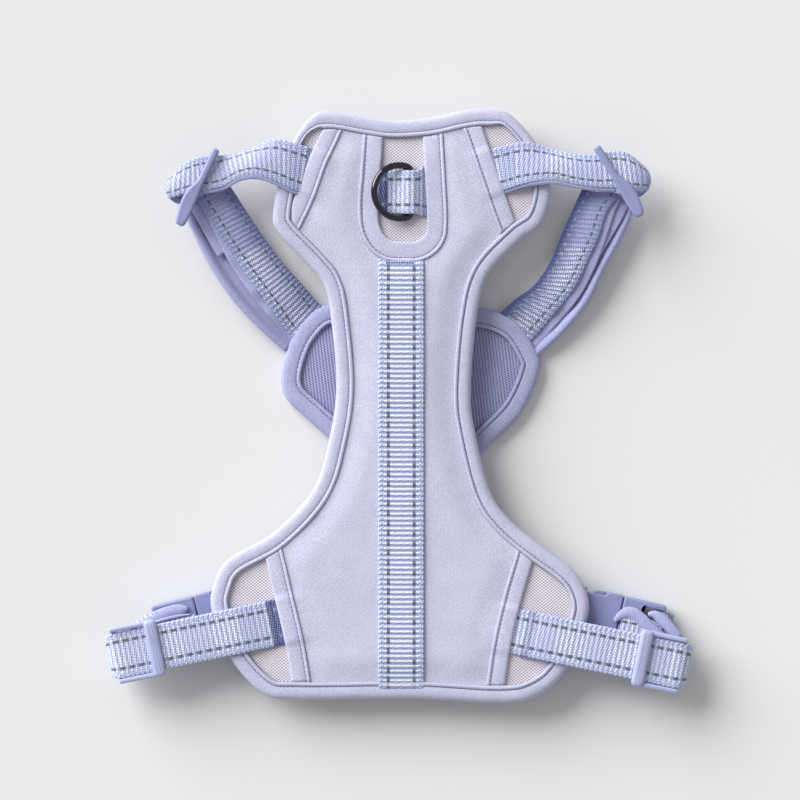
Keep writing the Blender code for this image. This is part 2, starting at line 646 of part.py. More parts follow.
def main():
    for obj in list(bpy.data.objects):
        bpy.data.objects.remove(obj, do_unlink=True)
    make_back_panel()
    make_chest_panel()
    make_leash_points()
    for side, data in NECK.items():
        make_neck_strap(side, data)
    for side, data in BELLY.items():
        make_belly_strap(side, data)
        make_chest_strap(side, data)
        frame = buckle_frame(data)
        make_socket(side, frame)
        make_plug(side, frame)
        for place, mirror in (("front", 1), ("rear", -1)):
            make_prong(side, place, frame, mirror)


main()
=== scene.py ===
"""Looks of the no-pull dog harness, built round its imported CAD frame.

Every fabric part, ring, adjuster and buckle gets its own detailed mesh in the space of the CAD
solid it stands for. Lengths are in millimetres until a mesh is made; +Z is up from the floor,
+Y is towards the neck.
"""
import math

import bmesh
import bpy
import numpy as np
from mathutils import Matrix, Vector, geometry, noise


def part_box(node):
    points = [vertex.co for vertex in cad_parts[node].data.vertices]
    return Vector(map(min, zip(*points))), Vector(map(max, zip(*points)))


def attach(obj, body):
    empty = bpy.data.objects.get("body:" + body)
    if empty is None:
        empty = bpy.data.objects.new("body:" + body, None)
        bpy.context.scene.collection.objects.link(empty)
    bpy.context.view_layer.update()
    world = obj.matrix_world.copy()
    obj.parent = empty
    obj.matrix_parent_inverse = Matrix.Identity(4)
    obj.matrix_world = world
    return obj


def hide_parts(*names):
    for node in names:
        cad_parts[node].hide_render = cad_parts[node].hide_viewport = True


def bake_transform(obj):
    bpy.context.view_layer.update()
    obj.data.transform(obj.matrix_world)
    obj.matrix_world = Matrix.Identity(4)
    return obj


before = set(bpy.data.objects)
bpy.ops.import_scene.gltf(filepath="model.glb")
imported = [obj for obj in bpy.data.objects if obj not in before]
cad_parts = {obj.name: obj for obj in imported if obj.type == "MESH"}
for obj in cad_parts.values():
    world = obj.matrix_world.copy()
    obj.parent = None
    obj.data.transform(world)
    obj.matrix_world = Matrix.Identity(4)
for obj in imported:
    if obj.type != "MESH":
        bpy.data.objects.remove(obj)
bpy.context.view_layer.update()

MM = 0.001
ROOT = "harness"

# ---- driving sizes, the same as the CAD part's ----
STRAP_WIDTH = 25.0
WEBBING = 1.2
BACK_BINDING = 9.5
CHEST_BINDING = 10.9
BAND = 10.3
WINDOW_BAND = 11.2
LIP = 2.3                       # width of the raised lip on bindings and bands

BACK_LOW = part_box("back_binding")[0].z / MM
BACK_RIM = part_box("back_binding")[1].z / MM
CHEST_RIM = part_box("chest_binding")[1].z / MM
STRAP_Z = (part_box("belly_webbing_left")[1].z / MM) - WEBBING / 2
FACE_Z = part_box("back_face")[1].z / MM
TUCKED_Z = FACE_Z + 1.1         # middle of a strap that lies between face and overlay

RIB = 2.66                      # pitch of the webbing's ribs
NUB = 1.55                      # pitch of the nubs along a rib
STITCH = 2.4                    # pitch of the sewn stitches

# ---- outlines, as in the CAD part ----
BACK_OUTLINE = [(-2.4, 155), (17, 156.4), (33.4, 160), (46.5, 161.5), (60, 158.6), (73.6, 144),
    (79.6, 131), (82.8, 115), (77.4, 98.2), (65.5, 88.9), (48.6, 70.4), (42.3, 46), (39.3, 8.4),
    (41.4, -13.3), (49.7, -45.9), (60.6, -62), (77.4, -76), (95, -89.4), (102.7, -103), (102, -118),
    (90, -145), (75.3, -157.6), (55.7, -161.6), (7.3, -159.2), (-53.5, -159.6), (-73.5, -156.6),
    (-91.9, -136.6), (-101.4, -112), (-100.6, -97.6), (-92.6, -83.4), (-67.9, -68.8), (-46.5, -45.5),
    (-38, -19.6), (-33.8, 9.5), (-36.5, 45.4), (-40.3, 64.8), (-49.2, 76.6), (-65, 93.2), (-68.2, 105),
    (-61.9, 133.4), (-49.4, 155.4), (-38, 160), (-15.5, 156.6)]

CHEST_OUTLINE = [(6.4, 45), (24, 48), (43.3, 53.5), (63.8, 46.2), (75.4, 30), (77.1, 18.5),
    (66.6, -4.8), (46, -26), (36, -44), (35, -62), (41, -80), (50, -93), (52, -110), (44, -127),
    (25, -134), (6, -135), (-13, -134), (-32, -127), (-40, -110), (-38, -93), (-29, -80), (-23, -62),
    (-24, -42), (-35, -21.6), (-49, -8.2), (-62, 5), (-63.6, 21), (-55, 42.5), (-38.6, 55.2),
    (-12, 48.5)]

WINDOW_LINE = [(-12.4, 168), (-15.4, 126), (-16.6, 109), (-15.2, 95), (-8.5, 85.6), (2, 83.2),
    (12.5, 84.4), (19.5, 90.8), (21, 101), (20, 123), (17.4, 168)]

OVERLAY_EDGES = {
    "upper_left": [(-28, 168), (-37, 147), (-44, 132), (-51, 112.8), (-64, 86)],
    "upper_right": [(34, 168), (39.7, 152), (49.7, 122.8), (57.5, 100.8), (66, 80)],
    "lower_left": [(-72.5, -65), (-67.6, -80.8), (-62.5, -102.2), (-56, -130.2), (-50.5, -164)],
    "lower_right": [(73, -65), (68.2, -82), (61.4, -105.2), (55.5, -131.2), (51, -164)]}

SPINE = {"x": 1.5, "top": 79.4, "bottom": -153.5}

# Each strap is a list of stations: x, y, z of its two edges and how far its middle arches up.
# Edge one is the edge nearer the waist on the upper run, and the outer edge on the lower run.
NECK = {
    "left": {
        "upper": [(-38, 110.5, 19, -30.5, 134, 19, 0), (-50, 114.4, 19.1, -44, 138.6, 19.1, 0),
            (-57.5, 117, 21.4, -56, 142.2, 20.9, 0.2), (-66, 120.9, 22.8, -67, 144.4, 20.2, 1),
            (-76.9, 124.2, 23.8, -79, 140.4, 17.2, 2.6), (-86.5, 123.1, 23.4, -90, 136.7, 18.4, 2),
            (-95, 118.6, 21.4, -99.5, 135.4, 19.8, 0.7), (-107.3, 116.2, 21.4, -108.5, 134.6, 20.4, 0.5)],
        "fold": [(-116, 114.6, 21, -115.4, 131.6, 20.2, 1.2),
            (-121.6, 113, 19.4, -120.6, 127.6, 18.8, 2), (-124.2, 112.6, 17, -123.4, 124.6, 16.6, 2.2),
            (-121.8, 110.4, 14.6, -119.6, 124.6, 14.4, 1), (-115.4, 109.6, 13.6, -103.8, 125.2, 13.4, 0)],
        "lower": [(-109.6, 112.8, 15, -92.6, 121, 11, 1), (-101.2, 99.6, 15, -84.6, 108.6, 10, 1.4),
            (-93.2, 86.4, 14.4, -76.4, 96, 9.4, 1.6), (-79.3, 66.6, 12.4, -63.2, 78, 8.4, 1.4),
            (-68.6, 51.8, 9.6, -52.6, 66, 6.8, 1), (-59.4, 38.6, 5.4, -43.4, 55.6, 4.8, 0.2),
            (-52, 31, 4.6, -36, 48, 4.4, 0)],
        "sleeve": [(-118.8, 112.4, 9.4, -99.6, 119.6, 8.6, 0.3),
            (-117.6, 106.6, 9.4, -100, 113, 8.6, 0.3), (-111.4, 92.6, 9.6, -92, 101, 8.6, 0.4),
            (-104, 77.6, 9.4, -85, 87.4, 8.4, 0.4), (-88, 54.4, 7.4, -70.4, 68, 7, 0.4),
            (-74.4, 40.2, 5.2, -60, 55, 5.2, 0.3), (-62.2, 29.4, 2.4, -50.4, 45.4, 3.2, 0.1)],
        "strip": [(-110.6, 112.6), (-103.4, 101), (-95.6, 84.4), (-87.6, 70.8), (-75.4, 54),
            (-63.4, 40.4), (-56, 33)],
        "short_strip": [(-113.6, 108), (-108.4, 98.6), (-101, 85.2), (-98, 80.6)],
        "bar": [(-98.6, 139), (-118.4, 97.4)]},
    "right": {
        "upper": [(40, 110.6, 19, 33, 134.6, 19, 0), (50, 114.4, 19.1, 43.6, 137.4, 19.1, 0),
            (59.5, 117.2, 20.9, 56, 140.6, 20.7, 0.2), (66.4, 119.4, 22.2, 67, 142.9, 20.8, 0.6),
            (83.8, 121.6, 23.2, 84, 139, 18, 2.2), (96.6, 119.4, 22.4, 95.6, 136.6, 19.4, 1.2),
            (107.7, 118, 21.8, 106.6, 136.2, 20.2, 0.8), (118, 117.6, 21.3, 116.5, 138, 20.6, 0.6)],
        "fold": [(126.6, 115.6, 21, 124, 137, 20.2, 1.2), (131.8, 116, 19.4, 130, 132.8, 18.8, 2),
            (134.6, 116.4, 17, 134.2, 128.6, 16.6, 2.2), (132, 113.8, 14.6, 128.4, 128.4, 14.4, 1),
            (125.6, 112.6, 13.6, 112.6, 124.6, 13.4, 0)],
        "lower": [(120.4, 114, 15.2, 99.8, 117.6, 10.4, 1), (114.2, 106.4, 15.2, 95.4, 107.8, 9.2, 1.6),
            (109.4, 92.4, 14.6, 89.4, 94.4, 8.4, 1.8), (104, 80.4, 13.6, 83.6, 80.2, 7.6, 1.6),
            (95.4, 63, 11.2, 74, 65.6, 6.6, 1.4), (83, 47.4, 8, 63.4, 57.8, 5.4, 0.8),
            (73, 35.8, 5, 53.8, 49, 4.6, 0.2), (66, 29, 4.6, 46, 42, 4.4, 0)],
        "sleeve": [(128.6, 113.6, 9, 109, 118.4, 7.6, 0.3), (128.2, 107.6, 9, 110, 112, 7.6, 0.3),
            (121.8, 91, 9.2, 101.4, 95.4, 7.2, 0.4), (112.9, 74.8, 8.8, 93, 80, 6.8, 0.4),
            (104.6, 57.6, 7.2, 84.6, 65.6, 6, 0.4), (89, 38.4, 5.2, 72.6, 51.6, 5, 0.3),
            (75.2, 26, 2.4, 62, 41, 3.2, 0.1)],
        "strip": [(121.8, 113.6), (118, 106), (112.4, 89), (107.6, 76.4), (99, 59.6), (86.2, 44),
            (76, 32.8), (69, 26)],
        "short_strip": [(125.4, 109.4), (120.6, 99.4), (113, 86.4), (110.8, 82)],
        "bar": [(107.2, 140.4), (130.8, 102.2)]}}

BELLY = {
    "left": {"start": (-42, -112.6), "fold": (-151.6, -135.5), "seam": (-107.8, -119.4),
             "out": (-0.971, -0.239), "chest_end": (-42.3, -103.4),
             "rolls": [([(-113, -113.6), (-121, -114.8), (-130, -117.2), (-140, -121)],
                        12.7, 2.4),
                       ([(-114.6, -110.4), (-121, -111.6), (-127, -113.2), (-133, -115.6)],
                        12.5, 6.8)]},
    "right": {"start": (42, -118), "fold": (151.6, -140.9), "seam": (119.2, -119.5),
              "out": (0.975, -0.2215), "chest_end": (54.6, -105.4),
             "rolls": [([(117.6, -117.4), (121, -114.2), (126, -112.6), (131.4, -115.6),
                         (137, -121.4), (143, -126.6)], 12.6, 6.6),
                       ([(135.8, -113.6), (139.6, -113.8), (144.2, -117.4), (148.6, -122),
                         (152, -126.4)], 12.2, 5.6)]}}

# Corners of the back panel whose rim rolls under, so that less of the tape shows from above:
# where, how far round it, and what share of the width goes.
ROLLED_CORNERS = [((-60.0, 143.0), 24.0, 0.5), ((66.0, 150.0), 22.0, 0.26)]

RING_WIRE = 3.6
RING_RADIUS = 14.4              # of the wire's centreline
RING_HALF_BAR = 13.2
BACK_RING = {"bar": (6.0, 115.8, 20.2), "bow": (-1.0, 0.0), "tilt": 18.4}
CHEST_RING = {"bar": (6.4, 52.6, 3.8), "bow": (0.0, 1.0), "tilt": -5.0}
RING_STRAP_Z = 19.3

BUCKLE_Z = 7.0                  # middle height of the buckles
BUCKLE_HALF_WIDTH = 16.5
BUCKLE_HALF_HEIGHT = 5.0
SOCKET_BODY = 24.0
SOCKET_LENGTH = 34.0
PLUG_LENGTH = 24.0
BELLY_SLIDER_HALF = 15.6
BELLY_SLIDER_LENGTH = 26.0
NECK_LOOP = 43.0


# ---- material helpers ----
def linear(hex_colour):
    """A hex colour as linear red, green, blue and alpha."""
    parts = [int(hex_colour[i:i + 2], 16) / 255 for i in (1, 3, 5)]
    return [c / 12.92 if c < 0.04 else ((c + 0.055) / 1.055) ** 2.4 for c in parts] + [1.0]


def add_node(tree, kind, inputs, **settings):
    """A shader node; each input is linked to a Value or socket, or gets a plain value."""
    step = tree.nodes.new("ShaderNode" + kind)
    for key, value in settings.items():
        setattr(step, key, value)
    for place, given in inputs.items():
        given = getattr(given, "socket", given)
        if isinstance(given, bpy.types.NodeSocket):
            tree.links.new(given, step.inputs[place])
        else:
            step.inputs[place].default_value = given
    return step


class Value:
    """A number in a material's node tree, which can be used in sums."""

    def __init__(self, tree, socket):
        self.tree = tree
        self.socket = socket

    def math(self, kind, other=0.5):
        """Another number by a kind of sum; a kind that takes one number ignores the other."""
        step = add_node(self.tree, "Math", {0: self, 1: other}, operation=kind)
        return Value(self.tree, step.outputs[0])

    def __add__(self, other):
        return self.math("ADD", other)

    def __sub__(self, other):
        return self.math("SUBTRACT", other)

    def __mul__(self, other):
        return self.math("MULTIPLY", other)

    def size(self):
        return self.math("ABSOLUTE")

    def wave(self, pitch, shift=0.0):
        """A wave from 0 to 1 with a crest at every whole pitch."""
        turns = (self + shift) * (2 * math.pi / pitch)
        return turns.math("COSINE") * 0.5 + 0.5

    def ramp(self, low, high):
        """0 below low, 1 above high, smooth between; low may be the larger."""
        step = add_node(self.tree, "MapRange", {
            "Value": self, "From Min": min(low, high), "From Max": max(low, high),
            "To Min": float(low > high), "To Max": float(low <= high)},
            interpolation_type="SMOOTHSTEP")
        return Value(self.tree, step.outputs["Result"])

    def ridge(self, centre, half):
        """1 at the centre, falling to 0 at half on each side."""
        return (self - centre).size().ramp(half, 0.0)


class Paint:
    """A material whose colour, roughness and bump are made from sums of Values."""

    def __init__(self, name, colour, roughness, metallic=0.0, sheen=0.0):
        self.material = bpy.data.materials.new(name)
        self.material.use_nodes = True
        self.tree = self.material.node_tree
        self.shader = self.tree.nodes["Principled BSDF"]
        self.colour = linear(colour)
        for place, value in (("Roughness", roughness), ("Metallic", metallic),
                             ("Sheen Weight", sheen), ("Sheen Roughness", 0.5),
                             ("Base Color", self.colour)):
            self.shader.inputs[place].default_value = value

    def place(self):
        """x, y and z of the surface, in millimetres."""
        where = add_node(self.tree, "TexCoord", {})
        return self.split(where.outputs["Object"], 1 / MM)

    def strap(self):
        """Distance along a strap, across it and the layer, in millimetres."""
        source = add_node(self.tree, "Attribute", {}, attribute_name="strap")
        return self.split(source.outputs["Vector"], 1.0)

    def split(self, vector, scale):
        parts = add_node(self.tree, "SeparateXYZ", {0: vector})
        return [Value(self.tree, parts.outputs[i]) * scale for i in range(3)]

    def noise(self, size, detail=2.0, stretch=(1.0, 1.0, 1.0)):
        """Soft noise from 0 to 1 whose patches are about size millimetres wide."""
        where = add_node(self.tree, "TexCoord", {})
        scaled = add_node(self.tree, "VectorMath", {
            1: [s / (size * MM) for s in stretch], 0: where.outputs["Object"]}, operation="MULTIPLY")
        pattern = add_node(self.tree, "TexNoise", {"Scale": 1.0, "Detail": detail,
                                                   "Vector": scaled.outputs[0]})
        return Value(self.tree, pattern.outputs["Fac"])

    def blend(self, share, colour):
        """Mixes the colour so far with another one by a share."""
        mix = add_node(self.tree, "Mix", {"Factor": share, 6: self.colour, 7: linear(colour)},
                       data_type="RGBA")
        self.colour = mix.outputs[2]
        self.tree.links.new(self.colour, self.shader.inputs["Base Color"])

    def roughness(self, value):
        self.tree.links.new(value.socket, self.shader.inputs["Roughness"])

    def bump(self, height):
        """Bumps from a height in millimetres."""
        step = add_node(self.tree, "Bump", {"Strength": 1.0, "Distance": MM, "Height": height})
        self.tree.links.new(step.outputs["Normal"], self.shader.inputs["Normal"])


def knit_paint(name, colour, light, dark, seams=()):
    """Smooth softshell: a fine diagonal twill with mottled colour and, on trims, stitched seams whose
    grooves carry painted shade.
    """
    paint = Paint(name, colour, 0.88, sheen=0.04)
    x, y, _ = paint.place()
    twill = (x + y * 0.6).wave(1.05) * (y - x * 0.35).wave(1.3)
    speck = paint.noise(0.8, 1.0)
    paint.blend(paint.noise(16.0, 3.0).ramp(0.35, 0.75) * 0.6, light)
    paint.blend(twill.ramp(0.5, 0.0) * 0.5, dark)
    paint.blend(twill.ramp(0.5, 1.0) * 0.5, light)
    paint.blend(speck.ramp(0.4, 0.68) * 0.35, dark)
    paint.blend(speck.ramp(0.5, 0.3) * 0.4, light)
    paint.blend(x.wave(1.7) * paint.noise(6.0, 1.0).ramp(0.35, 0.65) * 0.22, light)
    height = twill * 0.08 + speck * 0.1
    along, across, _ = paint.strap() if seams else (None, None, None)
    # each seam's groove: painted shade along its whole length, with the stitch holes as darker dashes
    for place, half, depth in seams:
        groove = across.ridge(place, half)
        hole = along.wave(STITCH).ramp(0.35, 0.9)
        paint.blend(groove * (hole * 0.35 + 0.6) * depth, "#5D5F80")
        height = height - groove * 0.25
    paint.bump(height)
    return paint.material


def mesh_paint(name, colour, light, hole, pitch, contrast, columns=False):
    """Air mesh: a lattice of small holes between knitted threads."""
    paint = Paint(name, colour, 0.9, sheen=0.15)
    x, y, _ = paint.place()
    if columns:
        cell = (x + y * 0.12).wave(pitch) * 0.5 + (y + x * 0.45).wave(pitch * 0.78) * 0.5
    else:
        cell = (x * 0.8 + y).wave(pitch) * 0.5 + (y - x * 0.8).wave(pitch) * 0.5
    paint.blend(paint.noise(9.0, 2.0).ramp(0.35, 0.7) * 0.25, light)
    paint.blend(cell.ramp(0.55, 0.9) * 0.85, light)
    paint.blend(cell.ramp(0.5, 0.12) * contrast, hole)
    paint.bump(cell * 0.25 + paint.noise(0.5, 1.0) * 0.06)
    return paint.material


def webbing_paint(name, valley, crest, tint, ribbed=1.0, calm=None, patch=0.0, solid=0.0,
                  thread_at=7.3, thread_half=1.5, dash_pitch=RIB * 2, shade=0.0, deep=()):
    """Woven strap: nubbly light ribs, darker valleys and two dashed reflective threads.

    ribbed says how far the ribs stand out from the dotted ground, calm where they fade for a
    short stretch, patch how long the strap's dense, dull first stretch is, darkened partly as
    painted shade from the strap lying over it, and solid how far its ribs run unbroken across.
    The reflective threads lie thread_at from the middle, and shade paints the shadow of the
    panel and the strap above as a darkening towards the strap's second edge. deep lists
    stretches, as place, half length and strength, where painted shadow darkens the weave to
    deep navy.
    """
    paint = Paint(name, valley, 0.6, sheen=0.2)
    along, across, _ = paint.strap()
    rib = along.wave(RIB)
    nub = (across + along * (NUB / RIB / 2)).wave(NUB)
    dots = (across + along * 0.45).wave(1.25) * (along - across * 0.3).wave(RIB / 2)
    paint.blend(paint.noise(7.0, 2.0).ramp(0.35, 0.7) * 0.5, tint)
    strength = along.wave(31.0, 9.0).ramp(0.25, 0.75) * (1.0 - ribbed) + ribbed
    if calm:
        strength = strength * (along.ridge(calm, 5.0).ramp(0.1, 0.4) * -0.85 + 1.0)
    if patch:
        strength = strength * (along.ramp(patch, patch + 3.0) * 0.75 + 0.25)
    paint.blend(rib.ramp(0.45, 0.85) * strength * 0.5, crest)
    paint.blend(rib.ramp(0.4, 0.0) * strength * 0.4, "#7F8AC0")
    paint.blend(dots.ramp(0.3, 0.65) * (0.85 * (1.0 - 0.8 * solid)), "#F8FBFF")
    paint.blend(dots.ramp(0.14, 0.0) * 0.35, "#7883BC")
    broken = nub.ramp(0.35, 0.75) * (1.0 - solid) + solid
    paint.blend(rib.ramp(0.45, 0.8) * broken * strength, "#FBFDFF")
    selvedge = across.size().ramp(9.4, 10.0)
    knot = (along + across * 0.9).wave(RIB / 2 * 1.5) * across.wave(1.25, 0.3)
    paint.blend(selvedge * 0.5, tint)
    paint.blend(selvedge * knot.ramp(0.2, 0.6) * 0.8, crest)
    paint.blend(selvedge * (along - across * 0.9).wave(RIB, 1.3).ramp(0.7, 0.95) * 0.6, "#7780AF")
    # partly painted shade: the dense first stretch is also darkened for the shadow of the strap lying
    # over it
    if patch:
        paint.blend(along.ramp(patch + 3.0, patch) * 0.55, "#8F96C4")
    # painted shadow: deep navy where the strap dips under a band's edge or a ring's bow
    for place, half, strong in deep:
        painted_shadow = along.ridge(place, half).ramp(0.0, 0.5)
        paint.blend(painted_shadow * (dots.ramp(0.35, 0.7) * -0.45 + 1.0) * strong, "#21307C")
    # painted shade: the shadow of the panel and the strap above, darker towards the second edge
    if shade:
        paint.blend((across + paint.noise(4.0, 1.0) * 4.0).ramp(-2.0, 15.0) * shade, "#3C4782")
    thread = across.size().ridge(thread_at, thread_half).ramp(0.2, 0.6)
    paint.blend(thread * 0.6, "#9CA8BE")
    fray = paint.noise(1.1, 1.0) * 0.5
    dash = ((along + across * 0.05).wave(dash_pitch) + fray).ramp(0.42, 0.7)
    paint.blend(thread * dash * 0.95, "#586178")
    paint.blend(paint.noise(0.7, 1.0).ramp(0.5, 0.75) * 0.25, "#7F8BB8")
    paint.bump(rib * 0.14 * ribbed + dots * 0.16 + nub * rib * 0.12 + knot * selvedge * 0.18)
    return paint.material


def plastic_paint(name, colour, light, dark):
    """Satin moulded plastic with a faint grain."""
    paint = Paint(name, colour, 0.4)
    grain = paint.noise(0.45, 2.0)
    paint.blend(paint.noise(12.0, 2.0).ramp(0.35, 0.7) * 0.5, light)
    paint.blend(grain.ramp(0.45, 0.75) * 0.18, dark)
    paint.roughness(grain * 0.16 + 0.33)
    paint.bump(grain * 0.03)
    return paint.material


def ring_paint():
    """Black nickel: dark polished metal with faint wiping marks."""
    paint = Paint("black_nickel", "#524F5A", 0.1, metallic=1.0)
    marks = paint.noise(1.6, 3.0, (1.0, 1.0, 4.0))
    paint.blend(marks.ramp(0.4, 0.75) * 0.5, "#35323E")
    paint.roughness(marks * 0.1 + 0.05)
    paint.bump(paint.noise(0.5, 2.0) * 0.008)
    return paint.material


def foam_paint():
    paint = Paint("open_foam", "#E4E2EA", 0.95)
    cells = paint.noise(1.0, 2.0)
    paint.blend(cells.ramp(0.45, 0.65) * 0.5, "#C9C6D4")
    paint.bump(cells * 0.3)
    return paint.material


def thread_paint(name, colour, dark):
    paint = Paint(name, colour, 0.6, sheen=0.2)
    twist = paint.noise(0.35, 1.0)
    paint.blend(twist.ramp(0.4, 0.7) * 0.5, dark)
    paint.bump(twist * 0.05)
    return paint.material


# ---- mesh helpers ----
def travelled(line):
    """Distance along a line of points to each of them."""
    lengths = [0.0]
    for a, b in zip(line, line[1:]):
        lengths.append(lengths[-1] + (b - a).length)
    return lengths


def heading(line, i):
    """Direction of an open line of points at one of them."""
    return (line[min(i + 1, len(line) - 1)] - line[max(i - 1, 0)]).normalized()


def perpendicular(run):
    """The level direction square to a run, to its left."""
    return Vector((-run[1], run[0])).normalized()


def arc(first, last, step):
    """Cosine and sine at every step of an arc in degrees."""
    return [(math.cos(math.radians(d)), math.sin(math.radians(d))) for d in range(first, last, step)]


def spline(points, closed, count):
    """Evenly spaced points on the smooth curve through the given ones."""
    total = len(points)
    dense = []
    for i in range(total if closed else total - 1):
        p0, p1, p2, p3 = [Vector(points[k % total if closed else min(max(k, 0), total - 1)])
                          for k in range(i - 1, i + 3)]
        for step in range(16):
            t = step / 16
            dense.append(0.5 * (2 * p1 + (p2 - p0) * t + (2 * p0 - 5 * p1 + 4 * p2 - p3) * t * t
                                + (3 * p1 - p0 - 3 * p2 + p3) * t ** 3))
    dense.append(Vector(points[0 if closed else -1]))
    lengths = travelled(dense)
    spaces = count if closed else count - 1
    result = []
    k = 0
    for i in range(count):
        target = lengths[-1] * i / spaces
        while k < len(lengths) - 2 and lengths[k + 1] < target:
            k += 1
        part = (target - lengths[k]) / (lengths[k + 1] - lengths[k])
        result.append(dense[k].lerp(dense[k + 1], min(part, 1.0)))
    return result


def smooth(value, low, high):
    """Smooth step from 0 at low to 1 at high."""
    t = np.clip((np.asarray(value, float) - low) / (high - low), 0.0, 1.0)
    return t * t * (3 - 2 * t)


def put(name, data):
    """A new object in the scene."""
    obj = bpy.data.objects.new(name, data)
    bpy.context.scene.collection.objects.link(obj)
    return obj


def add_mesh(name, points, faces, material, body, nodes, strap=None):
    """A piece of the harness from points in millimetres; it rides a body and replaces CAD nodes."""
    mesh = bpy.data.meshes.new(name)
    mesh.from_pydata([Vector(p) * MM for p in points], [], faces)
    if strap:
        layer = mesh.attributes.new("strap", "FLOAT_VECTOR", "POINT")
        layer.data.foreach_set("vector", np.array(strap, np.float32).ravel())
    shape = bmesh.new()
    shape.from_mesh(mesh)
    bmesh.ops.recalc_face_normals(shape, faces=shape.faces)
    shape.to_mesh(mesh)
    shape.free()
    mesh.shade_smooth()
    mesh.materials.append(material)
    obj = put(name, mesh)
    if body:
        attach(obj, body)
    if nodes:
        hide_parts(*nodes)
    return obj


def skin(rows, closed):
    """Faces over equal closed rows of points."""
    size = len(rows[0])
    faces = []
    last = len(rows) if closed else len(rows) - 1
    for i in range(last):
        here, there = i * size, (i + 1) % len(rows) * size
        faces += [(here + k, here + (k + 1) % size, there + (k + 1) % size, there + k)
                  for k in range(size)]
    if not closed:
        faces += [tuple(range(size)), tuple(range((len(rows) - 1) * size, len(rows) * size))]
    return faces


def distance_to(points, line):
    """Distance from each point to a line of points, as arrays."""
    points = np.asarray(points, float)[:, :2]
    line = np.asarray([(p[0], p[1]) for p in line], float)
    a, b = line[:-1], line[1:]
    run = b - a
    best = np.full(len(points), 1e9)
    for start, step in zip(a, run):
        t = np.clip(((points - start) @ step) / max(step @ step, 1e-9), 0, 1)
        best = np.minimum(best, np.linalg.norm(points - start - t[:, None] * step, axis=1))
    return best


def inside(points, loop):
    """Which points lie inside a closed loop."""
    points = np.asarray(points, float)
    x, y = points[:, 0], points[:, 1]
    result = np.zeros(len(points), bool)
    for i in range(len(loop)):
        x1, y1 = loop[i - 1][0], loop[i - 1][1]
        x2, y2 = loop[i][0], loop[i][1]
        if y1 != y2:
            crossing = (y1 > y) != (y2 > y)
            result ^= crossing & (x < (x2 - x1) * (y - y1) / (y2 - y1) + x1)
    return result


def depth_in(points, loop):
    """How deep points lie inside a closed loop; negative outside."""
    away = distance_to(points, list(loop) + [loop[0]])
    return np.where(inside(points, loop), away, -away)


def inward(loop, distance):
    """A loop moved inwards by a distance; the loop runs clockwise seen from above."""
    moved = []
    for i, point in enumerate(loop):
        along = (loop[(i + 1) % len(loop)] - loop[i - 1]).normalized()
        moved.append(point + Vector((along.y, -along.x)) * distance)
    return moved


def fill(loop, spacing, keep=None):
    """Triangles over a loop with a grid of points inside: 2-D points and faces."""
    lows, highs = [[end(p[i] for p in loop) for i in (0, 1)] for end in (min, max)]
    grid = []
    row = 0
    y = lows[1] + spacing / 2
    while y < highs[1]:
        x = lows[0] + (spacing / 2 if row % 2 else 0.0)
        while x < highs[0]:
            grid.append((x, y))
            x += spacing
        y += spacing * 0.87
        row += 1
    grid = [Vector(p) for p, d in zip(grid, depth_in(grid, loop)) if d > spacing * 0.45]
    points = [p.xy for p in loop]
    edges = [(i, (i + 1) % len(points)) for i in range(len(points))]
    made = geometry.delaunay_2d_cdt(points + grid, edges, [], 1, 1e-5)
    flat, faces = made[0], made[2]
    if keep is not None:
        centres = np.array([sum((flat[k] for k in f), Vector((0, 0))) / len(f) for f in faces])
        faces = [f for f, k in zip(faces, keep(centres)) if k]
    return flat, faces


def cloth(name, flat, faces, top, low, material, node, slot):
    """A closed sheet between two height fields over the same triangles."""
    used = sorted({k for f in faces for k in f})
    number = {k: i for i, k in enumerate(used)}
    plan = np.array([(flat[k].x, flat[k].y) for k in used])
    count = len(used)
    points = [(p[0], p[1], z) for field in (top, low) for p, z in zip(plan, field(plan))]
    tops = [tuple(number[k] for k in f) for f in faces]
    skins = tops + [tuple(count + k for k in reversed(f)) for f in tops]
    edges = dict.fromkeys((a, b) for f in tops for a, b in zip(f, f[1:] + f[:1]))
    skins += [(a, b, b + count, a + count) for a, b in edges if (b, a) not in edges]
    return add_mesh(name, points, skins, material, ROOT, [node])


# ---- heights of the back panel's layers ----
back_loop = spline(BACK_OUTLINE, True, 420)
chest_loop = spline(CHEST_OUTLINE, True, 300)
coarse_back = back_loop[::3]
coarse_chest = chest_loop[::3]
edge_lines = {side: spline(line, False, 60) for side, line in OVERLAY_EDGES.items()}
window = spline(WINDOW_LINE, False, 120)


def level(z):
    """A flat height field."""
    return lambda points: np.full(len(points), z)


def overlay_keep(points):
    """Which points lie on the overlay: between the side bands and out of the window."""
    x, y = points[:, 0], points[:, 1]
    keep = np.ones(len(points), bool)
    for side, line in edge_lines.items():
        xs, ys = np.array(line).T
        order = np.argsort(ys)
        limit = np.interp(y, ys[order], xs[order])
        near = (y > ys.min()) & (y < ys.max())
        keep &= ~(near & ((x < limit) if side.endswith("left") else (x > limit)))
    return keep & ~inside(points, window)


def strap_bump(points, a, b):
    """1 over a strap that lies under the overlay, from a to b, 0 away from it."""
    a, b = np.array(a[:2]), np.array(b[:2])
    length = np.linalg.norm(b - a)
    run = (b - a) / length
    along = (points - a) @ run
    across = np.abs((points - a) @ np.array((-run[1], run[0])))
    return (smooth(across, 15.5, 10.5) * smooth(along, -3.0, 6.0)
            * smooth(along, length + 8.0, length - 2.0))


def wrinkle(points, size, amount):
    return np.array([noise.noise(Vector((p[0] / size, p[1] / size, 3.0))) for p in points]) * amount


def face_top(points):
    deep = depth_in(points, coarse_back)
    return FACE_Z - 0.1 + 0.5 * smooth(deep, 8.0, 26.0) + wrinkle(points, 22.0, 0.12)


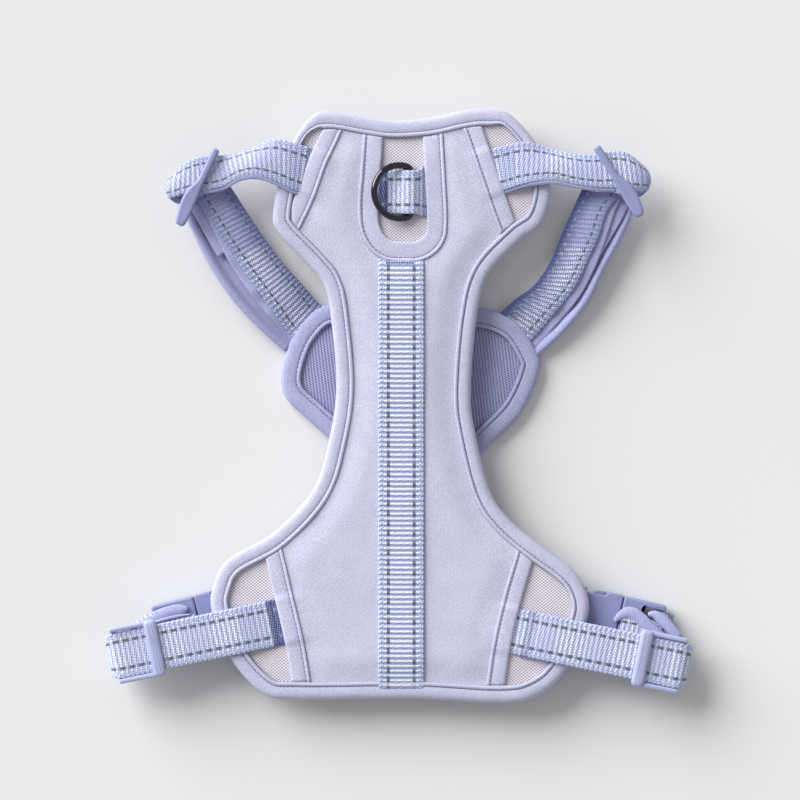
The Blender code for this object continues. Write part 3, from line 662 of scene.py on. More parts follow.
def overlay_top(points):
    """Top of the overlay: low at its edges, full in the middle, and raised over hidden straps."""
    points = np.asarray(points, float)
    rim = smooth(depth_in(points, coarse_back), 8.0, 24.0)
    edge = distance_to(points, window[::3]) + 3.0
    for line in edge_lines.values():
        edge = np.minimum(edge, distance_to(points, line[::3]))
    height = FACE_Z + 1.1 + 0.5 * rim + 1.4 * rim * smooth(edge, 0.0, 20.0)
    hidden = []
    for side in NECK.values():
        ends = [(Vector(s[0:3]) + Vector(s[3:6])) / 2 for s in side["upper"][:3]]
        hidden.append((ends[0], ends[2]))
    for data in BELLY.values():
        start, fold = Vector(data["start"]), Vector(data["fold"])
        hidden.append((start, start.lerp(fold, 0.3)))
    for a, b in hidden:
        height += 0.9 * strap_bump(points, a, b) * (1 - rim * smooth(edge, 2.0, 16.0))
    return height + wrinkle(points, 34.0, 0.35) + wrinkle(points, 13.0, 0.1)


# ---- trims: bindings, bands and stitches ----
def stitches(name, line, material, pitch=STITCH, thick=0.26):
    """A row of sewn stitches along a line, each a short, round piece of thread."""
    lengths = travelled(line)
    points, faces = [], []
    sides = 5
    shape = ((-0.36, 0.4, -0.2), (-0.25, 1.0, 0.0), (0.25, 1.0, 0.0), (0.36, 0.4, -0.2))
    skins = skin([range(sides)] * len(shape), False)
    for i in range(int(lengths[-1] / pitch)):
        place = (i + 0.5) * pitch
        k = min(max(int(np.searchsorted(lengths, place)) - 1, 0), len(line) - 2)
        run = (line[k + 1] - line[k]).normalized()
        centre = line[k] + run * (place - lengths[k])
        across = run.cross(Vector((0, 0, 1))).normalized()
        up = across.cross(run)
        first = len(points)
        for along, wide, rise in shape:
            for j in range(sides):
                angle = 2 * math.pi * j / sides
                offset = across * math.cos(angle) + up * math.sin(angle)
                points.append(centre + run * along * pitch + offset * wide * thick + up * rise)
        faces += [tuple(first + index for index in f) for f in skins]
    return add_mesh(name, points, faces, material, ROOT, [])


def binding(name, loop, width, low, high, material, node, thread):
    """Tape folded round a panel's edge, with a rolled rim and a raised, stitched inner lip."""
    mid = (low + high) / 2
    lip = width - LIP
    profile = [(width + 0.15, high - 0.9), (width + 0.25, high + 0.35), (width - 0.15, high + 0.85),
               (width - 0.7, high + 1.2), (width - 1.5, high + 1.2), (lip + 0.25, high + 0.9),
               (lip + 0.05, high + 0.35), (lip - 0.1, high + 0.1), (lip - 0.3, high + 0.35),
               (lip - 0.8, high + 0.6), (lip - 2.0, high + 0.72), (lip * 0.5, high + 0.7),
               (1.8, high + 0.45), (0.8, high - 0.3), (0.2, mid + 1.4), (0.0, mid),
               (0.25, mid - 1.3), (0.9, low + 0.9), (2.0, low + 0.25), (lip * 0.5, low),
               (width - 0.6, low), (width, low + 0.3), (width, low + 0.8), (width - 1.0, low + 0.9),
               (2.4, low + 1.0), (1.2, mid - 0.6), (1.2, mid + 0.6), (2.4, high - 1.1),
               (width - 1.0, high - 1.0)]
    lumpy, outside = 13, 15         # how many of the profile's points lie on top and show
    plan = np.array([(p.x, p.y) for p in loop])
    share = np.ones(len(loop))
    for spot, reach, loss in ROLLED_CORNERS if name.startswith("back") else []:
        away = np.linalg.norm(plan - np.array(spot), axis=1)
        share -= loss * smooth(away, reach, reach * 0.3)

    def ring(depth):
        return [p.lerp(q, float(k)) for p, q, k in zip(loop, inward(loop, depth), share)]

    rings = [ring(depth) for depth, _ in profile]
    lumps = wrinkle(plan, 15.0, 0.22)
    points, strap = [], []
    for i, place in enumerate(travelled(loop)):
        for k, (depth, z) in enumerate(profile):
            rise = lumps[i] if k < lumpy else 0.0
            points.append((*rings[k][i], z + rise))
            strap.append((place, depth, float(k < outside)))
    faces = skin([range(len(profile))] * len(loop), True)
    add_mesh(name, points, faces, material, ROOT, [node], strap)
    line = [Vector((p.x, p.y, high + 0.35 + lump)) for p, lump in zip(ring(lip - 0.1), lumps)]
    stitches(name.replace("tape", "stitches"), line + line[:1], thread)


def band_lines(line, columns, limit):
    """A band's columns of points, each running as far as the panel's binding covers it."""
    fine = spline(line, False, 400)
    sides = [-perpendicular(heading(fine, i)) for i in range(len(fine))]
    result = []
    for u in columns:
        track = [p + s * u for p, s in zip(fine, sides)]
        good = np.flatnonzero(depth_in(track, coarse_back) > limit)
        result.append(spline(track[good[0]:good[-1] + 1:6], False, 150))
    return result


def band(name, line, width, flip, material, node, thread):
    """A sewn tape on the overlay with a raised lip along one edge."""
    half = width / 2
    profile = [(-half, 0.05), (-half + 0.15, 0.6), (-half + 0.6, 0.95), (-half + 1.4, 1.0),
               (-half + LIP - 0.3, 0.8), (-half + LIP, 0.35), (-half + LIP + 0.3, 0.5),
               (-half + LIP + 1.2, 0.75), (0.4, 0.8), (half - 1.6, 0.75), (half - 0.6, 0.55),
               (half - 0.1, 0.2), (half, -0.5), (half - 0.05, -1.1), (half - 1.0, -1.0),
               (0.0, -0.6), (-half + 0.6, -0.6)]
    groove = 5                      # the profile's point where the lip is sewn down
    tracks = band_lines(line, [u * flip for u, _ in profile], 8.3)
    count = len(tracks[0])
    plan = np.array([(p.x, p.y) for track in tracks for p in track])
    heights = overlay_top(plan) - 1.4 * smooth(depth_in(plan, coarse_back), 10.4, 9.0)
    heights = heights.reshape(len(tracks), count)
    points, strap = [], []
    for i in range(count):
        for k, (u, rise) in enumerate(profile):
            points.append((*tracks[k][i], heights[k][i] + rise))
            strap.append((i * 0.8, u + half, 0.0))
    faces = skin([range(len(profile))] * count, False)
    add_mesh(name, points, faces, material, ROOT, [node], strap)
    line = [Vector((p.x, p.y, z + 0.62)) for p, z in zip(tracks[groove], heights[groove])]
    stitches(name + "_stitches", line, thread)


def make_back_panel(paints):
    thread = paints["thread"]
    cloth("back_lining_mesh", *fill(inward(back_loop, BACK_BINDING - 0.3)[::2], 4.0),
          level(BACK_LOW + 0.75),
          lambda p: BACK_LOW + 0.05 + 0.3 * (1 - smooth(depth_in(p, coarse_back), 9.0, 16.0)),
          paints["face"], "back_lining", "face_mesh")
    field = fill(inward(back_loop, 4.0)[::2], 3.2)
    pad = cloth("back_padding", *field, lambda p: face_top(p) - 0.9, level(BACK_LOW + 1.1),
                paints["foam"], "back_foam", "foam")
    cloth("back_face_mesh", *field, face_top, lambda p: face_top(p) - 0.6, paints["face"],
          "back_face", "face_mesh")
    cloth("back_overlay_cloth", *fill(inward(back_loop, 6.6)[::2], 2.6, overlay_keep), overlay_top,
          lambda p: overlay_top(p) - 0.7, paints["overlay"], "back_overlay", "softshell")
    for side, line in OVERLAY_EDGES.items():
        flip = 1 if side.endswith("left") else -1
        band("band_" + side, line, BAND, flip, paints["band"], "overlay_band_" + side, thread)
    band("band_window", WINDOW_LINE, WINDOW_BAND, -1, paints["band"], "window_band", thread)
    binding("back_binding_tape", back_loop, BACK_BINDING, BACK_LOW, BACK_RIM, paints["binding"],
            "back_binding", thread)


def make_chest_panel(paints):
    def swell(low, rise):
        return lambda p: low + rise * smooth(depth_in(p, coarse_chest), 6.0, 24.0)

    cloth("chest_shell_cloth", *fill(inward(chest_loop, CHEST_BINDING - 0.3)[::2], 4.0), level(0.8),
          level(0.0), paints["overlay"], "chest_shell", "softshell")
    field = fill(inward(chest_loop, 3.0)[::2], 4.0)
    pad = cloth("chest_padding", *field, swell(4.3, 0.6), level(1.1), paints["foam"], "chest_foam",
                "foam")
    cloth("chest_lining_mesh", *field, swell(5.1, 0.9), swell(4.5, 0.9), paints["chest_mesh"],
          "chest_lining", "chest_mesh")
    binding("chest_binding_tape", chest_loop, CHEST_BINDING, 0.0, CHEST_RIM,
            paints["chest_binding"], "chest_binding", paints["thread"])


# ---- straps ----
def station(spot, across, reach, z, arch=0.0):
    """A strap's station round a spot, whose edges lie reach away from it, both at height z."""
    a, b = spot - across * reach, spot + across * reach
    return a.x, a.y, z, b.x, b.y, z, arch


def rails(stations, step):
    """Evenly spaced stations on the smooth strap through the given ones."""
    data = np.array(stations, float)
    marks = travelled([Vector(row[0:3] + row[3:6]) / 2 for row in data])
    tangents = np.gradient(data, np.array(marks), axis=0)
    places = np.linspace(0.0, marks[-1], max(int(marks[-1] / step), 8))
    made = []
    for s in places:
        k = min(max(int(np.searchsorted(marks, s, side="right")) - 1, 0), len(marks) - 2)
        span = marks[k + 1] - marks[k]
        t = (s - marks[k]) / span
        c = ((2 * t ** 3 - 3 * t * t + 1) * data[k] + (t ** 3 - 2 * t * t + t) * span * tangents[k]
             + (3 * t * t - 2 * t ** 3) * data[k + 1] + (t ** 3 - t * t) * span * tangents[k + 1])
        made.append((Vector(c[0:3]), Vector(c[3:6]), float(c[6])))
    return made, places


def strap_piece(name, stations, material, nodes, thick=WEBBING, step=0.44,
                depth=0.0, profile=None, body=ROOT):
    """A strap through stations, with real ribs and nubs of a depth, or a plain tape without one.

    profile gives extra height across the strap, from its first edge to its second.
    """
    made, places = rails(stations, step)
    middles = [a + b for a, b, _ in made]
    turn = (made[0][1] - made[0][0]).cross(middles[1] - middles[0])
    facing = 1.0 if turn.z > 0 else -1.0
    count = 44 if depth else 20
    points, strap = [], []
    for i, (a, b, arch) in enumerate(made):
        up = ((b - a).normalized().cross(heading(middles, i)) * facing).normalized()
        s = places[i]
        rib = 0.5 + 0.5 * math.cos(2 * math.pi * s / RIB)
        low = []
        for k in range(count + 1):
            v = k / count
            u = (v - 0.5) * STRAP_WIDTH
            base = a.lerp(b, v) + up * (arch * (1 - (2 * v - 1) ** 2))
            edge = float(1 - smooth(abs(u), STRAP_WIDTH / 2 - 0.7, STRAP_WIDTH / 2))
            plain = thick / 2 * (0.35 + 0.65 * edge)
            if profile:
                base = base + up * float(np.interp(v, *profile))
            nub = 0.5 + 0.5 * math.cos(2 * math.pi * (u + s * NUB / RIB / 2) / NUB)
            points.append(base + up * (plain + depth * rib * (1.0 + 0.5 * nub) * edge))
            strap.append((s, u, 0.0))
            if k % 4 == 0 or k == count:
                low.append((base - up * plain, (s, u, 1.0)))
        for p, spot in reversed(low):
            points.append(p)
            strap.append(spot)
    faces = skin([range(len(points) // len(made))] * len(made), False)
    return add_mesh(name, points, faces, material, body, nodes, strap)


def tape_piece(name, stations, material, nodes, thick, step=1.5, profile=None):
    """A smooth, soft tape through stations."""
    strap_piece(name, stations, material, nodes, thick, step, profile=profile)


def make_spine(paints):
    x, top, bottom = SPINE["x"], SPINE["top"], SPINE["bottom"]
    half = STRAP_WIDTH / 2
    count = 70
    plan = np.array([(x, top + (bottom - top) * i / count) for i in range(count + 1)])
    stations = []
    for (_, y), z in zip(plan, overlay_top(plan)):
        rise = 0.65 - 0.75 * float(smooth(y, 76.0, 79.0)) - 0.6 * float(smooth(y, -149.0, -152.0))
        stations.append((x + half, y, z + rise, x - half, y, z + rise, 0.12))
    strap_piece("spine_ribs", stations, paints["spine"], ["spine_webbing"], depth=0.2)
    y = top - 1.9
    z = float(overlay_top(np.array([(x, y)]))[0]) + 1.6
    row = [Vector((x - half * 0.7, y, z)), Vector((x + half * 0.6, y, z))]
    stitches("spine_top_stitches", row, paints["dark_thread"], 1.4, 0.5)


def make_neck_strap(side, data, paints):
    strap_piece("neck_ribs_" + side, data["upper"] + data["fold"], paints["neck"],
                ["neck_webbing_" + side], depth=0.1)
    strap_piece("neck_run_" + side, data["lower"], paints["neck_run_" + side],
                ["neck_sleeve_webbing_" + side], depth=0.14)
    backing = []
    drop = Vector((0, 0, -1.1))
    for row in data["upper"][1:]:
        a, b = Vector(row[0:3]), Vector(row[3:6])
        out = (a - b).normalized() * 1.8
        backing.append((*(a + out + drop * 0.6), *(b + out * 1.4 + drop), row[6]))
    tape_piece("neck_tape_" + side, backing, paints["backing"], ["neck_backing_" + side], 0.9)
    roll = ((0.0, 0.05, 0.12, 0.19, 0.24, 0.3, 1.0), (1.2, 2.0, 2.2, 1.4, -0.4, -1.0, -1.0))
    tape_piece("neck_sleeve_tape_" + side, data["sleeve"], paints["sleeve"],
               ["neck_sleeve_" + side], 1.8, profile=roll)
    for key, width, sink in (("strip", 10.0, -1.5), ("short_strip", 7.0, -2.9)):
        add_strip("neck_%s_%s" % (key, side), data[key], data["lower"], width, sink,
                  paints["backing"])


def add_strip(name, line, lower, width, drop, material):
    """A soft tape whose outer edge follows a line and whose inner edge lies under the webbing."""
    outer = [Vector(s[0:3]) for s in lower]
    middle = sum((Vector(s[3:6]) for s in lower), Vector()) / len(lower)
    track = spline(line, False, 14)
    stations = []
    for i, p in enumerate(track):
        near = min(outer, key=lambda q: (q.xy - p).length)
        weights = 1 / (distance_to(outer, [p, (p.x + 0.01, p.y)]) + 1.0) ** 3
        z = float(sum(w * q.z for w, q in zip(weights, outer)) / weights.sum()) + drop
        z = min(z, near.z + drop + 1.0)
        across = perpendicular(heading(track, i))
        if across.dot(middle.xy - p) < 0:
            across = -across
        stations.append((*p, z, *(p + across * width), z - 0.4, 0.2))
    tape_piece(name, stations, material, [], 1.3)


def make_belly_strap(side, data, paints):
    start, fold, out, seam = [Vector(data[key]) for key in ("start", "fold", "out", "seam")]
    length = (fold - start).length
    along = (fold - start).normalized()
    square, buckle_side = perpendicular(along), perpendicular(out)
    half = STRAP_WIDTH / 2
    return_z = 9.7
    reach = (STRAP_Z - return_z) / 2
    flat = [station(start + along * distance, square, half, z, 0.25 if 30 < distance < 90 else 0.0)
            for distance, z in ((0.0, TUCKED_Z), (22.0, TUCKED_Z), (31.0, TUCKED_Z + 0.9),
                                (42.0, STRAP_Z - 0.2), (60.0, STRAP_Z), (84.0, STRAP_Z),
                                (length - 6.0, STRAP_Z), (length, STRAP_Z))]
    stations = flat + [
        station(fold + along * reach * c, square, half - 1.3 * c ** 2, return_z + reach + reach * s)
        for c, s in arc(70, -91, -20)]
    bar = seam + out * 22.4
    turned = square.lerp(buckle_side, 0.7).normalized()
    stations.append(station((bar + out * 2.5).lerp(fold, 0.25), turned, half, return_z + 0.3))
    hook = return_z - BUCKLE_Z
    stations += [station(bar + out * (1.25 * hook * c), buckle_side, half, BUCKLE_Z + hook * s)
                 for c, s in arc(75, 286, 30)]
    stations.append(station(bar + out * 7.0, buckle_side, half, BUCKLE_Z - hook))
    strap_piece("belly_ribs_" + side, stations, paints["belly_" + side],
                ["belly_webbing_" + side], depth=0.1)
    make_belly_tail(side, data, bar, paints)
    backing = []
    drop = Vector((0, 0, -1.5))
    for i, row in enumerate(flat[:-1]):
        a, b = Vector(row[0:3]), Vector(row[3:6])
        low, high = (b, a) if a.y > b.y else (a, b)
        across = (low - high).normalized()
        spare = 1.3 if i < 3 else -0.3          # the tape narrows where the slider runs
        backing.append((*(low + across * spare + drop), *(high + across * 0.3 + drop), row[6]))
    tape_piece("belly_tape_" + side, backing, paints["backing"], ["belly_backing_" + side], 1.0)


def make_belly_tail(side, data, bar, paints):
    """The strap's end lying on the plug, and the rolled edges of the soft tape that lines it."""
    out = Vector(data["out"])
    across = perpendicular(out)
    if across.y < 0:
        across = -across
    tail = []
    for reach, z, edge in ((1.6, 11.0, 6.2), (-2.0, 11.8, 6.4), (-6.5, 12.8, 6.8), (-12.0, 13.0, 6.8),
                           (-21.0, 12.9, 6.4)):
        spot = bar + out * reach
        tail.append((*(spot - across * 12.4), z, *(spot + across * edge), z, 0.3))
    strap_piece("belly_tail_" + side, tail, paints["belly"], [], thick=1.0, depth=0.08)
    for i, (line, z, wide) in enumerate(data["rolls"]):
        track = spline(line, False, 12)
        rows = []
        for k, p in enumerate(track):
            reach = wide / 2 * (0.35 + 0.65 * math.sin(math.pi * min(k / 8, 0.5)))
            height = z + 0.5 * math.sin(math.pi * k / 11)
            rows.append(station(p, -perpendicular(heading(track, k)), reach, height, 0.8))
        tape_piece("belly_roll_%s_%d" % (side, i), rows, paints["backing"], [], 1.5, 1.0)


# ---- rings and the straps that hold them ----
def make_ring(name, ring, paints):
    """A D-ring bent from round wire: a straight bar and a long bow, leaning about its bar."""
    sweep = math.asin(RING_HALF_BAR / RING_RADIUS)
    middle = -RING_RADIUS * math.cos(sweep)
    line = [Vector((0.0, y)) for y in (RING_HALF_BAR - 1.6, 0.0, 1.6 - RING_HALF_BAR)]
    steps = 40
    for i in range(steps + 1):
        angle = -sweep - (2 * math.pi - 2 * sweep) * i / steps
        point = Vector((middle + RING_RADIUS * math.cos(angle), RING_RADIUS * math.sin(angle)))
        if i in (0, steps):
            point = point.lerp(Vector((0.0, point.y * 0.94)), 0.4)
        line.append(point)
    line = spline(line, True, 120)
    bow = Vector((*ring["bow"], 0.0))
    across_bar = Vector((-bow.y, bow.x, 0.0))
    lean = math.radians(ring["tilt"])
    out = bow * math.cos(lean) + Vector((0, 0, math.sin(lean)))
    normal = out.cross(across_bar)
    sides = 24
    points = []
    for i, point in enumerate(line):
        along = (line[(i + 1) % len(line)] - line[i - 1]).normalized()
        across = (out * -along.x + across_bar * along.y).cross(normal).normalized()
        centre = Vector(ring["bar"]) + out * -point.x + across_bar * point.y
        for k in range(sides):
            angle = 2 * math.pi * k / sides
            points.append(centre + (across * math.cos(angle) + normal * math.sin(angle))
                          * RING_WIRE / 2)
    faces = skin([range(sides)] * len(line), True)
    add_mesh(name + "_wire", points, faces, paints["ring"], name, [name])


def make_ring_straps(paints):
    """The webbing over the leash ring's bar and the loop that holds the front ring."""
    x, y, z = BACK_RING["bar"]
    reach = RING_WIRE / 2 + WEBBING / 2 + 0.3
    rows = [(-21.0, 1.2, RING_STRAP_Z, 11.5, 11.5), (-12.0, 0.4, RING_STRAP_Z, 11.5, 11.5)]
    rows += [(x + 1.7 * reach * c, 0.0, z + reach * s, 11.6, 11.9) for c, s in arc(150, 29, -15)]
    rows += [(13.0, 0.4, RING_STRAP_Z + 0.4, 13.4, 13.6), (18.0, 0.6, RING_STRAP_Z, 14.0, 14.2),
             (24.0, 1.2, RING_STRAP_Z, 14.0, 14.2)]
    stations = [(px, y + shift + upper, pz, px, y + shift - lower, pz, 0.0)
                for px, shift, pz, upper, lower in rows]
    strap_piece("ring_ribs", stations, paints["ring_strap"], ["ring_webbing"], depth=0.1)

    x, y, z = CHEST_RING["bar"]
    half, tail = 11.5, 4.0
    loop = [(y - tail, z + reach)]
    loop += [(y + reach * c, z + reach * s) for c, s in arc(90, -91, -20)]
    loop.append((y - tail, z - reach))
    stations = [(x - half, py, pz, x + half, py, pz, 0.0) for py, pz in loop]
    strap_piece("front_loop_ribs", stations, paints["ring_strap"], ["front_ring_loop"], depth=0.05)


# ---- moulded adjusters and buckles ----
def rounded(corners, radius):
    """A plan outline with rounded corners."""
    result = []
    for i, point in enumerate(corners):
        p = Vector(point)
        a, b = Vector(corners[i - 1]) - p, Vector(corners[(i + 1) % len(corners)]) - p
        start = p + a.normalized() * min(radius, a.length * 0.48)
        end = p + b.normalized() * min(radius, b.length * 0.48)
        for step in range(6):
            t = step / 5
            result.append(start.lerp(p, t).lerp(p.lerp(end, t), t))
    return result


def pebble(axes, outline, low, high, soft, spread=None):
    """A solid over a plan outline whose edges are rounded by soft in height, spread in plan."""
    spread = spread or soft
    origin, along, across = axes
    size = len(outline)
    area = sum(outline[i - 1].cross(outline[i]) for i in range(size))
    turn = 1.0 if area > 0 else -1.0
    normals = [perpendicular(outline[(i + 1) % size] - outline[i - 1]) * turn for i in range(size)]
    steps = 7
    quarter = math.pi / 2
    rim = [(spread * (1 - math.cos(quarter * k / steps)), soft * math.sin(quarter * k / steps))
           for k in range(steps + 1)]
    rim.append((spread + 0.12, soft))
    rings = [(inset, low + soft - rise) for inset, rise in reversed(rim)]
    rings += [(inset, high - soft + rise) for inset, rise in rim]
    points = []
    for inset, z in rings:
        for p, n in zip(outline, normals):
            q = p + n * inset
            points.append(Vector((*(origin + along * q.x + across * q.y), z)))
    return points, skin([range(size)] * len(rings), False)


def block(axes, box, low, high, soft, radius=1.3, spread=None):
    """A rounded solid over a plan box: from u1 to u2 along, from v1 to v2 across."""
    u1, u2, v1, v2 = box
    corners = [(u1, v1), (u2, v1), (u2, v2), (u1, v2)]
    return pebble(axes, rounded(corners, radius), low, high, soft, spread)


def moulded(name, pieces, material, body, node):
    """One moulded part from several rounded solids."""
    points, faces = [], []
    for some, skins in pieces:
        first = len(points)
        points += some
        faces += [tuple(first + k for k in f) for f in skins]
    add_mesh(name, points, faces, material, body, [node])


def make_neck_slider(side, data, paints):
    """A slim loop over the strap whose lower end spreads into a leaf-shaped grip."""
    top, bottom = [Vector(p) for p in data["bar"]]
    along = (bottom - top).normalized()
    axes = (top, along, perpendicular(along))
    length = (bottom - top).length
    name = "neck_slider_" + side
    stem = [(0.0, 0.9), (0.7, 1.7), (3.0, 2.0), (14.0, 1.9)]
    inner = stem + [(20.0, 1.9), (26.0, 2.3), (33.0, 2.6), (38.0, 2.6), (length - 2.6, 2.4),
                    (length - 0.6, 1.7), (length, 0.6)]
    outer = stem + [(19.0, 2.1), (23.0, 3.4), (28.0, 5.0), (33.0, 5.3), (38.0, 4.7),
                    (length - 2.6, 3.6), (length - 0.6, 2.7), (length, 1.4)]
    outwards = -1.0 if side == "left" else 1.0
    leaf = [(u, w * outwards) for u, w in outer]
    leaf += [(u, -w * outwards) for u, w in reversed(inner)]
    end, half = NECK_LOOP - 2.6, 1.9
    pieces = [pebble(axes, spline(leaf, True, 120), 22.2, 25.2, 1.35, 1.5),
              block(axes, (0.4, end + 2.6, -half, half), 16.2, 18.0, 0.85)]
    for u1, u2 in ((0.2, 2.6), (end, end + 2.4)):
        pieces.append(block(axes, (u1, u2, -half, half), 16.4, 24.6, 1.0, 1.1))
    moulded(name + "_moulding", pieces, paints["shaded_leaf_plastic"], name, name)


def make_belly_slider(side, data, paints):
    """A frame with a wide front bar and two hidden ones that the strap weaves through."""
    start, fold = Vector(data["start"]), Vector(data["fold"])
    along = (fold - start).normalized()
    axes = (fold - along * 23.4, along, perpendicular(along))
    name = "belly_slider_" + side
    wide, end = BELLY_SLIDER_HALF, BELLY_SLIDER_LENGTH
    pieces = [block(axes, (0.0, 7.0, -wide, wide), 21.6, 24.8, 1.5, 3.0, 2.5)]
    for sign in (-1, 1):
        rail = [(0.6, 12.8), (end, 12.8), (end, 15.3), (12.0, 15.3), (7.0, wide), (0.6, wide)]
        outline = rounded([(u, v * sign) for u, v in rail], 1.4)
        pieces.append(pebble(axes, outline, 16.3, 23.2, 1.0))
    for u1, u2 in ((11.0, 14.5), (end - 3.5, end)):
        pieces.append(block(axes, (u1, u2, -wide + 0.4, wide - 0.4), 16.2, 18.8, 1.15))
    moulded(name + "_moulding", pieces, paints["slider_plastic"], name, name)


def make_buckle(side, data, paints):
    """A side-release buckle: a hollow socket with windows, a plug with a tongue and two prongs."""
    out = Vector(data["out"])
    paint = paints["buckle_plastic"]
    axes = (Vector(data["seam"]), out, perpendicular(out))
    wide = BUCKLE_HALF_WIDTH
    low, high = BUCKLE_Z - BUCKLE_HALF_HEIGHT, BUCKLE_Z + BUCKLE_HALF_HEIGHT

    def middle(box, half, soft):
        """A block of a half height about the buckle's middle."""
        return block(axes, box, BUCKLE_Z - half, BUCKLE_Z + half, soft)

    def mirrored(outline):
        return outline + [(u, -v) for u, v in reversed(outline)]

    plate = rounded(mirrored([(-SOCKET_BODY, -14.0), (-20.2, -14.0), (-10.2, -14.0), (-8.4, -wide),
                              (-0.1, -wide)]), 1.3)
    socket = [pebble(axes, plate, high - 1.9, high, 0.9), pebble(axes, plate, low, low + 1.9, 0.9),
              block(axes, (-SOCKET_BODY + 0.2, -21.6, -13.4, 13.4), low + 0.3, high - 0.3, 1.2)]
    edge = wide - 0.3
    plug_face = rounded(mirrored([(0.35, -edge), (PLUG_LENGTH, -edge), (PLUG_LENGTH, -12.8),
                                  (12.2, -12.8)]), 1.6)
    plug = [pebble(axes, plug_face, low, high, 1.3), middle((-18.5, 1.5, -2.6, 2.6), 1.6, 0.9),
            middle((PLUG_LENGTH - 3.2, PLUG_LENGTH, -wide + 0.5, wide - 0.5), 1.2, 1.1)]
    for sign in (-1, 1):
        v1, v2 = sorted((sign * 14.6, sign * wide))
        post = sorted((sign * 13.6, sign * (wide - 0.4)))
        for box in ((-9.9, -0.1, v1, v2), (-23.6, -20.4, v1 - 0.2, v2 - 0.2)):
            socket.append(block(axes, box, low + 0.4, high - 0.4, 0.85, 0.95))
        socket.append(middle((-SOCKET_LENGTH, -SOCKET_BODY + 1.2, *post), 2.4, 1.15))
    socket.append(middle((-SOCKET_LENGTH, -SOCKET_LENGTH + 3.2, -wide + 0.6, wide - 0.6), 1.2, 1.1))
    for part, pieces, body in (("socket", socket, "buckle_socket_" + side), ("plug", plug, ROOT)):
        name = "buckle_%s_%s" % (part, side)
        moulded(name + "_moulding", pieces, paint, body, name)
    arm = [(-0.5, 8.4), (-0.5, 12.0), (-10.2, 12.8), (-10.2, 16.3), (-14.5, 16.1), (-19.6, 12.9),
           (-20.2, 11.2), (-18.8, 10.2), (-12.0, 9.6)]
    for place, mirror in (("front", 1), ("rear", -1)):
        name = "buckle_prong_%s_%s" % (side, place)
        outline = rounded([(u, v * mirror) for u, v in arm], 0.9)
        moulded(name + "_moulding", [pebble(axes, outline, BUCKLE_Z - 2.6, BUCKLE_Z + 2.6, 0.6)],
                paint, name, name)


def make_chest_strap(side, data, paints):
    """The short strap from the chest panel that loops round the socket's bar."""
    start, out = Vector(data["chest_end"]), Vector(data["out"])
    bar = Vector(data["seam"]) - out * (SOCKET_LENGTH - 1.6)
    hook = 1.7 + 0.3 + WEBBING / 2
    entry = bar - out * 6.0
    low_z = 3.2
    spots = [(start, low_z), (entry, BUCKLE_Z + hook - 0.4)]
    spots += [(bar + out * (1.2 * hook * c), BUCKLE_Z + hook * s) for c, s in arc(105, -106, -30)]
    spots.append((entry, BUCKLE_Z - hook))
    stations = [station(spot, perpendicular(out), STRAP_WIDTH / 2, z) for spot, z in spots]
    piece = strap_piece("chest_strap_%s_ribs" % side, stations, paints["belly"],
                        ["chest_strap_" + side], depth=0.1, body=None)
    "buckle_socket_" + side
    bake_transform(piece)


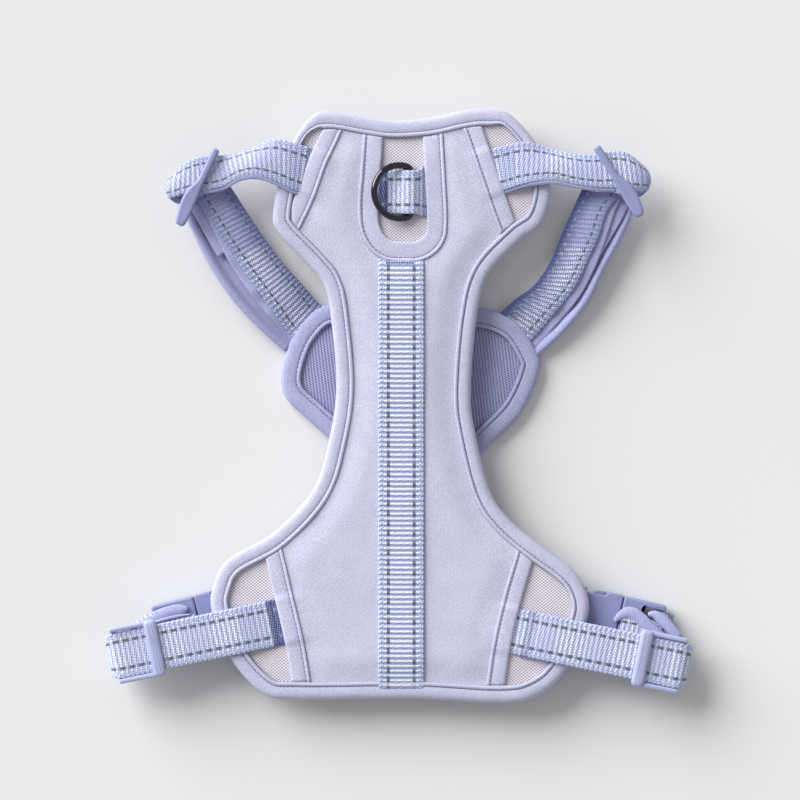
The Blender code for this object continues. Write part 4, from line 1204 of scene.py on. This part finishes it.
# ---- plan of the whole piece ----
def make_paints():
    belly = ("#A6B1DC", "#E2EAFF", "#B2BDE6", 0.4, 40.0)
    slim = {"thread_half": 1.25, "dash_pitch": 4.9}
    grooves = ((BACK_BINDING - LIP - 0.1, 0.34, 0.8), (BACK_BINDING + 0.05, 0.34, 0.75))
    chest_grooves = ((CHEST_BINDING - LIP - 0.1, 0.36, 0.8), (CHEST_BINDING + 0.05, 0.34, 0.75))
    return {
        "overlay": knit_paint("softshell_overlay", "#D3D2E6", "#E0DFEF", "#ABAACC"),
        "binding": knit_paint("binding_tape", "#CBCBE2", "#D6D6EB", "#A7A8CA", grooves),
        "band": knit_paint("band_tape", "#D0D0E8", "#DCDBF0", "#A9AACE",
                           ((LIP, 0.36, 0.85), (0.1, 0.34, 0.7))),
        "chest_binding": knit_paint("chest_tape", "#B3B6D8", "#C0C2E2", "#8C8FBC", chest_grooves),
        "face": mesh_paint("face_air_mesh", "#DDD6E1", "#FDF9FD", "#8D8099", 1.6, 0.85),
        "chest_mesh": mesh_paint("chest_air_mesh", "#A0A2CC", "#BABBDE", "#5F6192", 1.7, 1.0, True),
        "foam": foam_paint(),
        # The deep stretches below are painted shadow, where a strap dips under a band or a ring's bow.
        "neck": webbing_paint("neck_webbing_weave", "#97A3D6", "#DCE5FF", "#A6B3E2", 0.35, 24.0,
                              deep=((14.0, 6.0, 0.6),), **slim),
        "belly": webbing_paint("belly_webbing_weave", *belly),
        "belly_left": webbing_paint("left_belly_weave", *belly, deep=((25.4, 4.6, 0.92),)),
        "belly_right": webbing_paint("right_belly_weave", *belly, deep=((29.3, 3.4, 0.4),)),
        # The lower runs are the neck webbing again: their darker colours and shade are painted shade from
        # the strap and panel above, the right run's most.
        "neck_run_left": webbing_paint("left_run_weave", "#7883BC", "#CDD7F6", "#8A95C8", 0.8,
                                       patch=36.0, shade=0.6, **slim),
        "neck_run_right": webbing_paint("right_run_weave", "#5F699F", "#A3AED6", "#707CB2", 0.7,
                                        patch=30.0, shade=1.0, **slim),
        "spine": webbing_paint("spine_webbing_weave", "#93A2D6", "#EAF1FF", "#A2B2E2", 1.0,
                               solid=0.6, thread_at=7.0),
        "ring_strap": webbing_paint("ring_webbing_weave", "#AAB9E4", "#EAF2FF", "#B8C6EE", 0.8,
                                    deep=((12.0, 5.0, 1.0), (38.0, 3.6, 0.7))),
        "sleeve": knit_paint("sleeve_tape", "#B0B4DC", "#BCC0E6", "#8B8FBC", ((3.6, 0.5, 0.8),)),
        "backing": knit_paint("backing_tape", "#B4B8E0", "#C1C5EA", "#9094C2"),
        "slider_plastic": plastic_paint("slider_plastic", "#ABB3D9", "#B5BCE0", "#959CC6"),
        # The leaf grips and buckles are the sliders' plastic; these darker copies have shade painted in.
        "shaded_leaf_plastic": plastic_paint("shaded_leaf_plastic", "#8E95BF", "#9AA0CA", "#7A81AE"),
        "buckle_plastic": plastic_paint("buckle_plastic", "#8B92BE", "#979DC8", "#777EAC"),
        "ring": ring_paint(),
        "thread": thread_paint("sewing_thread", "#A3A5C9", "#7D7FA8"),
        "dark_thread": thread_paint("dark_thread", "#5A68A6", "#3F4C88")}


def make_room():
    floor = bpy.data.meshes.new("floor")
    half = 3.0
    floor.from_pydata([(-half, -half, 0), (half, -half, 0), (half, half, 0), (-half, half, 0)], [],
                      [(0, 1, 2, 3)])
    paint = Paint("pale_floor", "#E9E9E9", 0.9)
    paint.blend(paint.noise(300.0, 1.0) * 0.15, "#E4E4E4")
    floor.materials.append(paint.material)
    put("floor", floor)

    world = bpy.data.worlds.new("studio")
    world.use_nodes = True
    background = world.node_tree.nodes["Background"]
    background.inputs["Color"].default_value = (1, 1, 1, 1)
    background.inputs["Strength"].default_value = 0.4
    bpy.context.scene.world = world
    light = bpy.data.lights.new("key", "SUN")
    light.angle = math.radians(50)
    light.energy = 4.75
    lamp = put("key", light)
    lamp.rotation_mode = "QUATERNION"
    lamp.rotation_quaternion = Vector((0.85, -0.76, -0.52)).to_track_quat("-Z", "Y")


def make_camera():
    """Straight above the harness, far enough away that heights hardly shift anything."""
    view_width = 434.8 * MM
    height = 2.4
    data = bpy.data.cameras.new("camera")
    data.sensor_width = 36.0
    data.lens = 36.0 * (height - 15.0 * MM) / view_width
    data.clip_end = 50.0
    camera = put("camera", data)
    camera.location = (0.8 * MM, 3.0 * MM, height)
    bpy.context.scene.camera = camera


def main():
    scene = bpy.context.scene
    scene.view_settings.view_transform = "Standard"
    paints = make_paints()
    make_camera()
    make_room()
    make_back_panel(paints)
    make_chest_panel(paints)
    make_spine(paints)
    for side, data in NECK.items():
        make_neck_strap(side, data, paints)
        make_neck_slider(side, data, paints)
    make_ring("leash_ring", BACK_RING, paints)
    make_ring("front_ring", CHEST_RING, paints)
    make_ring_straps(paints)
    for side, data in BELLY.items():
        make_belly_strap(side, data, paints)
        make_belly_slider(side, data, paints)
        make_buckle(side, data, paints)
        make_chest_strap(side, data, paints)


main()
bpy.context.view_layer.update()
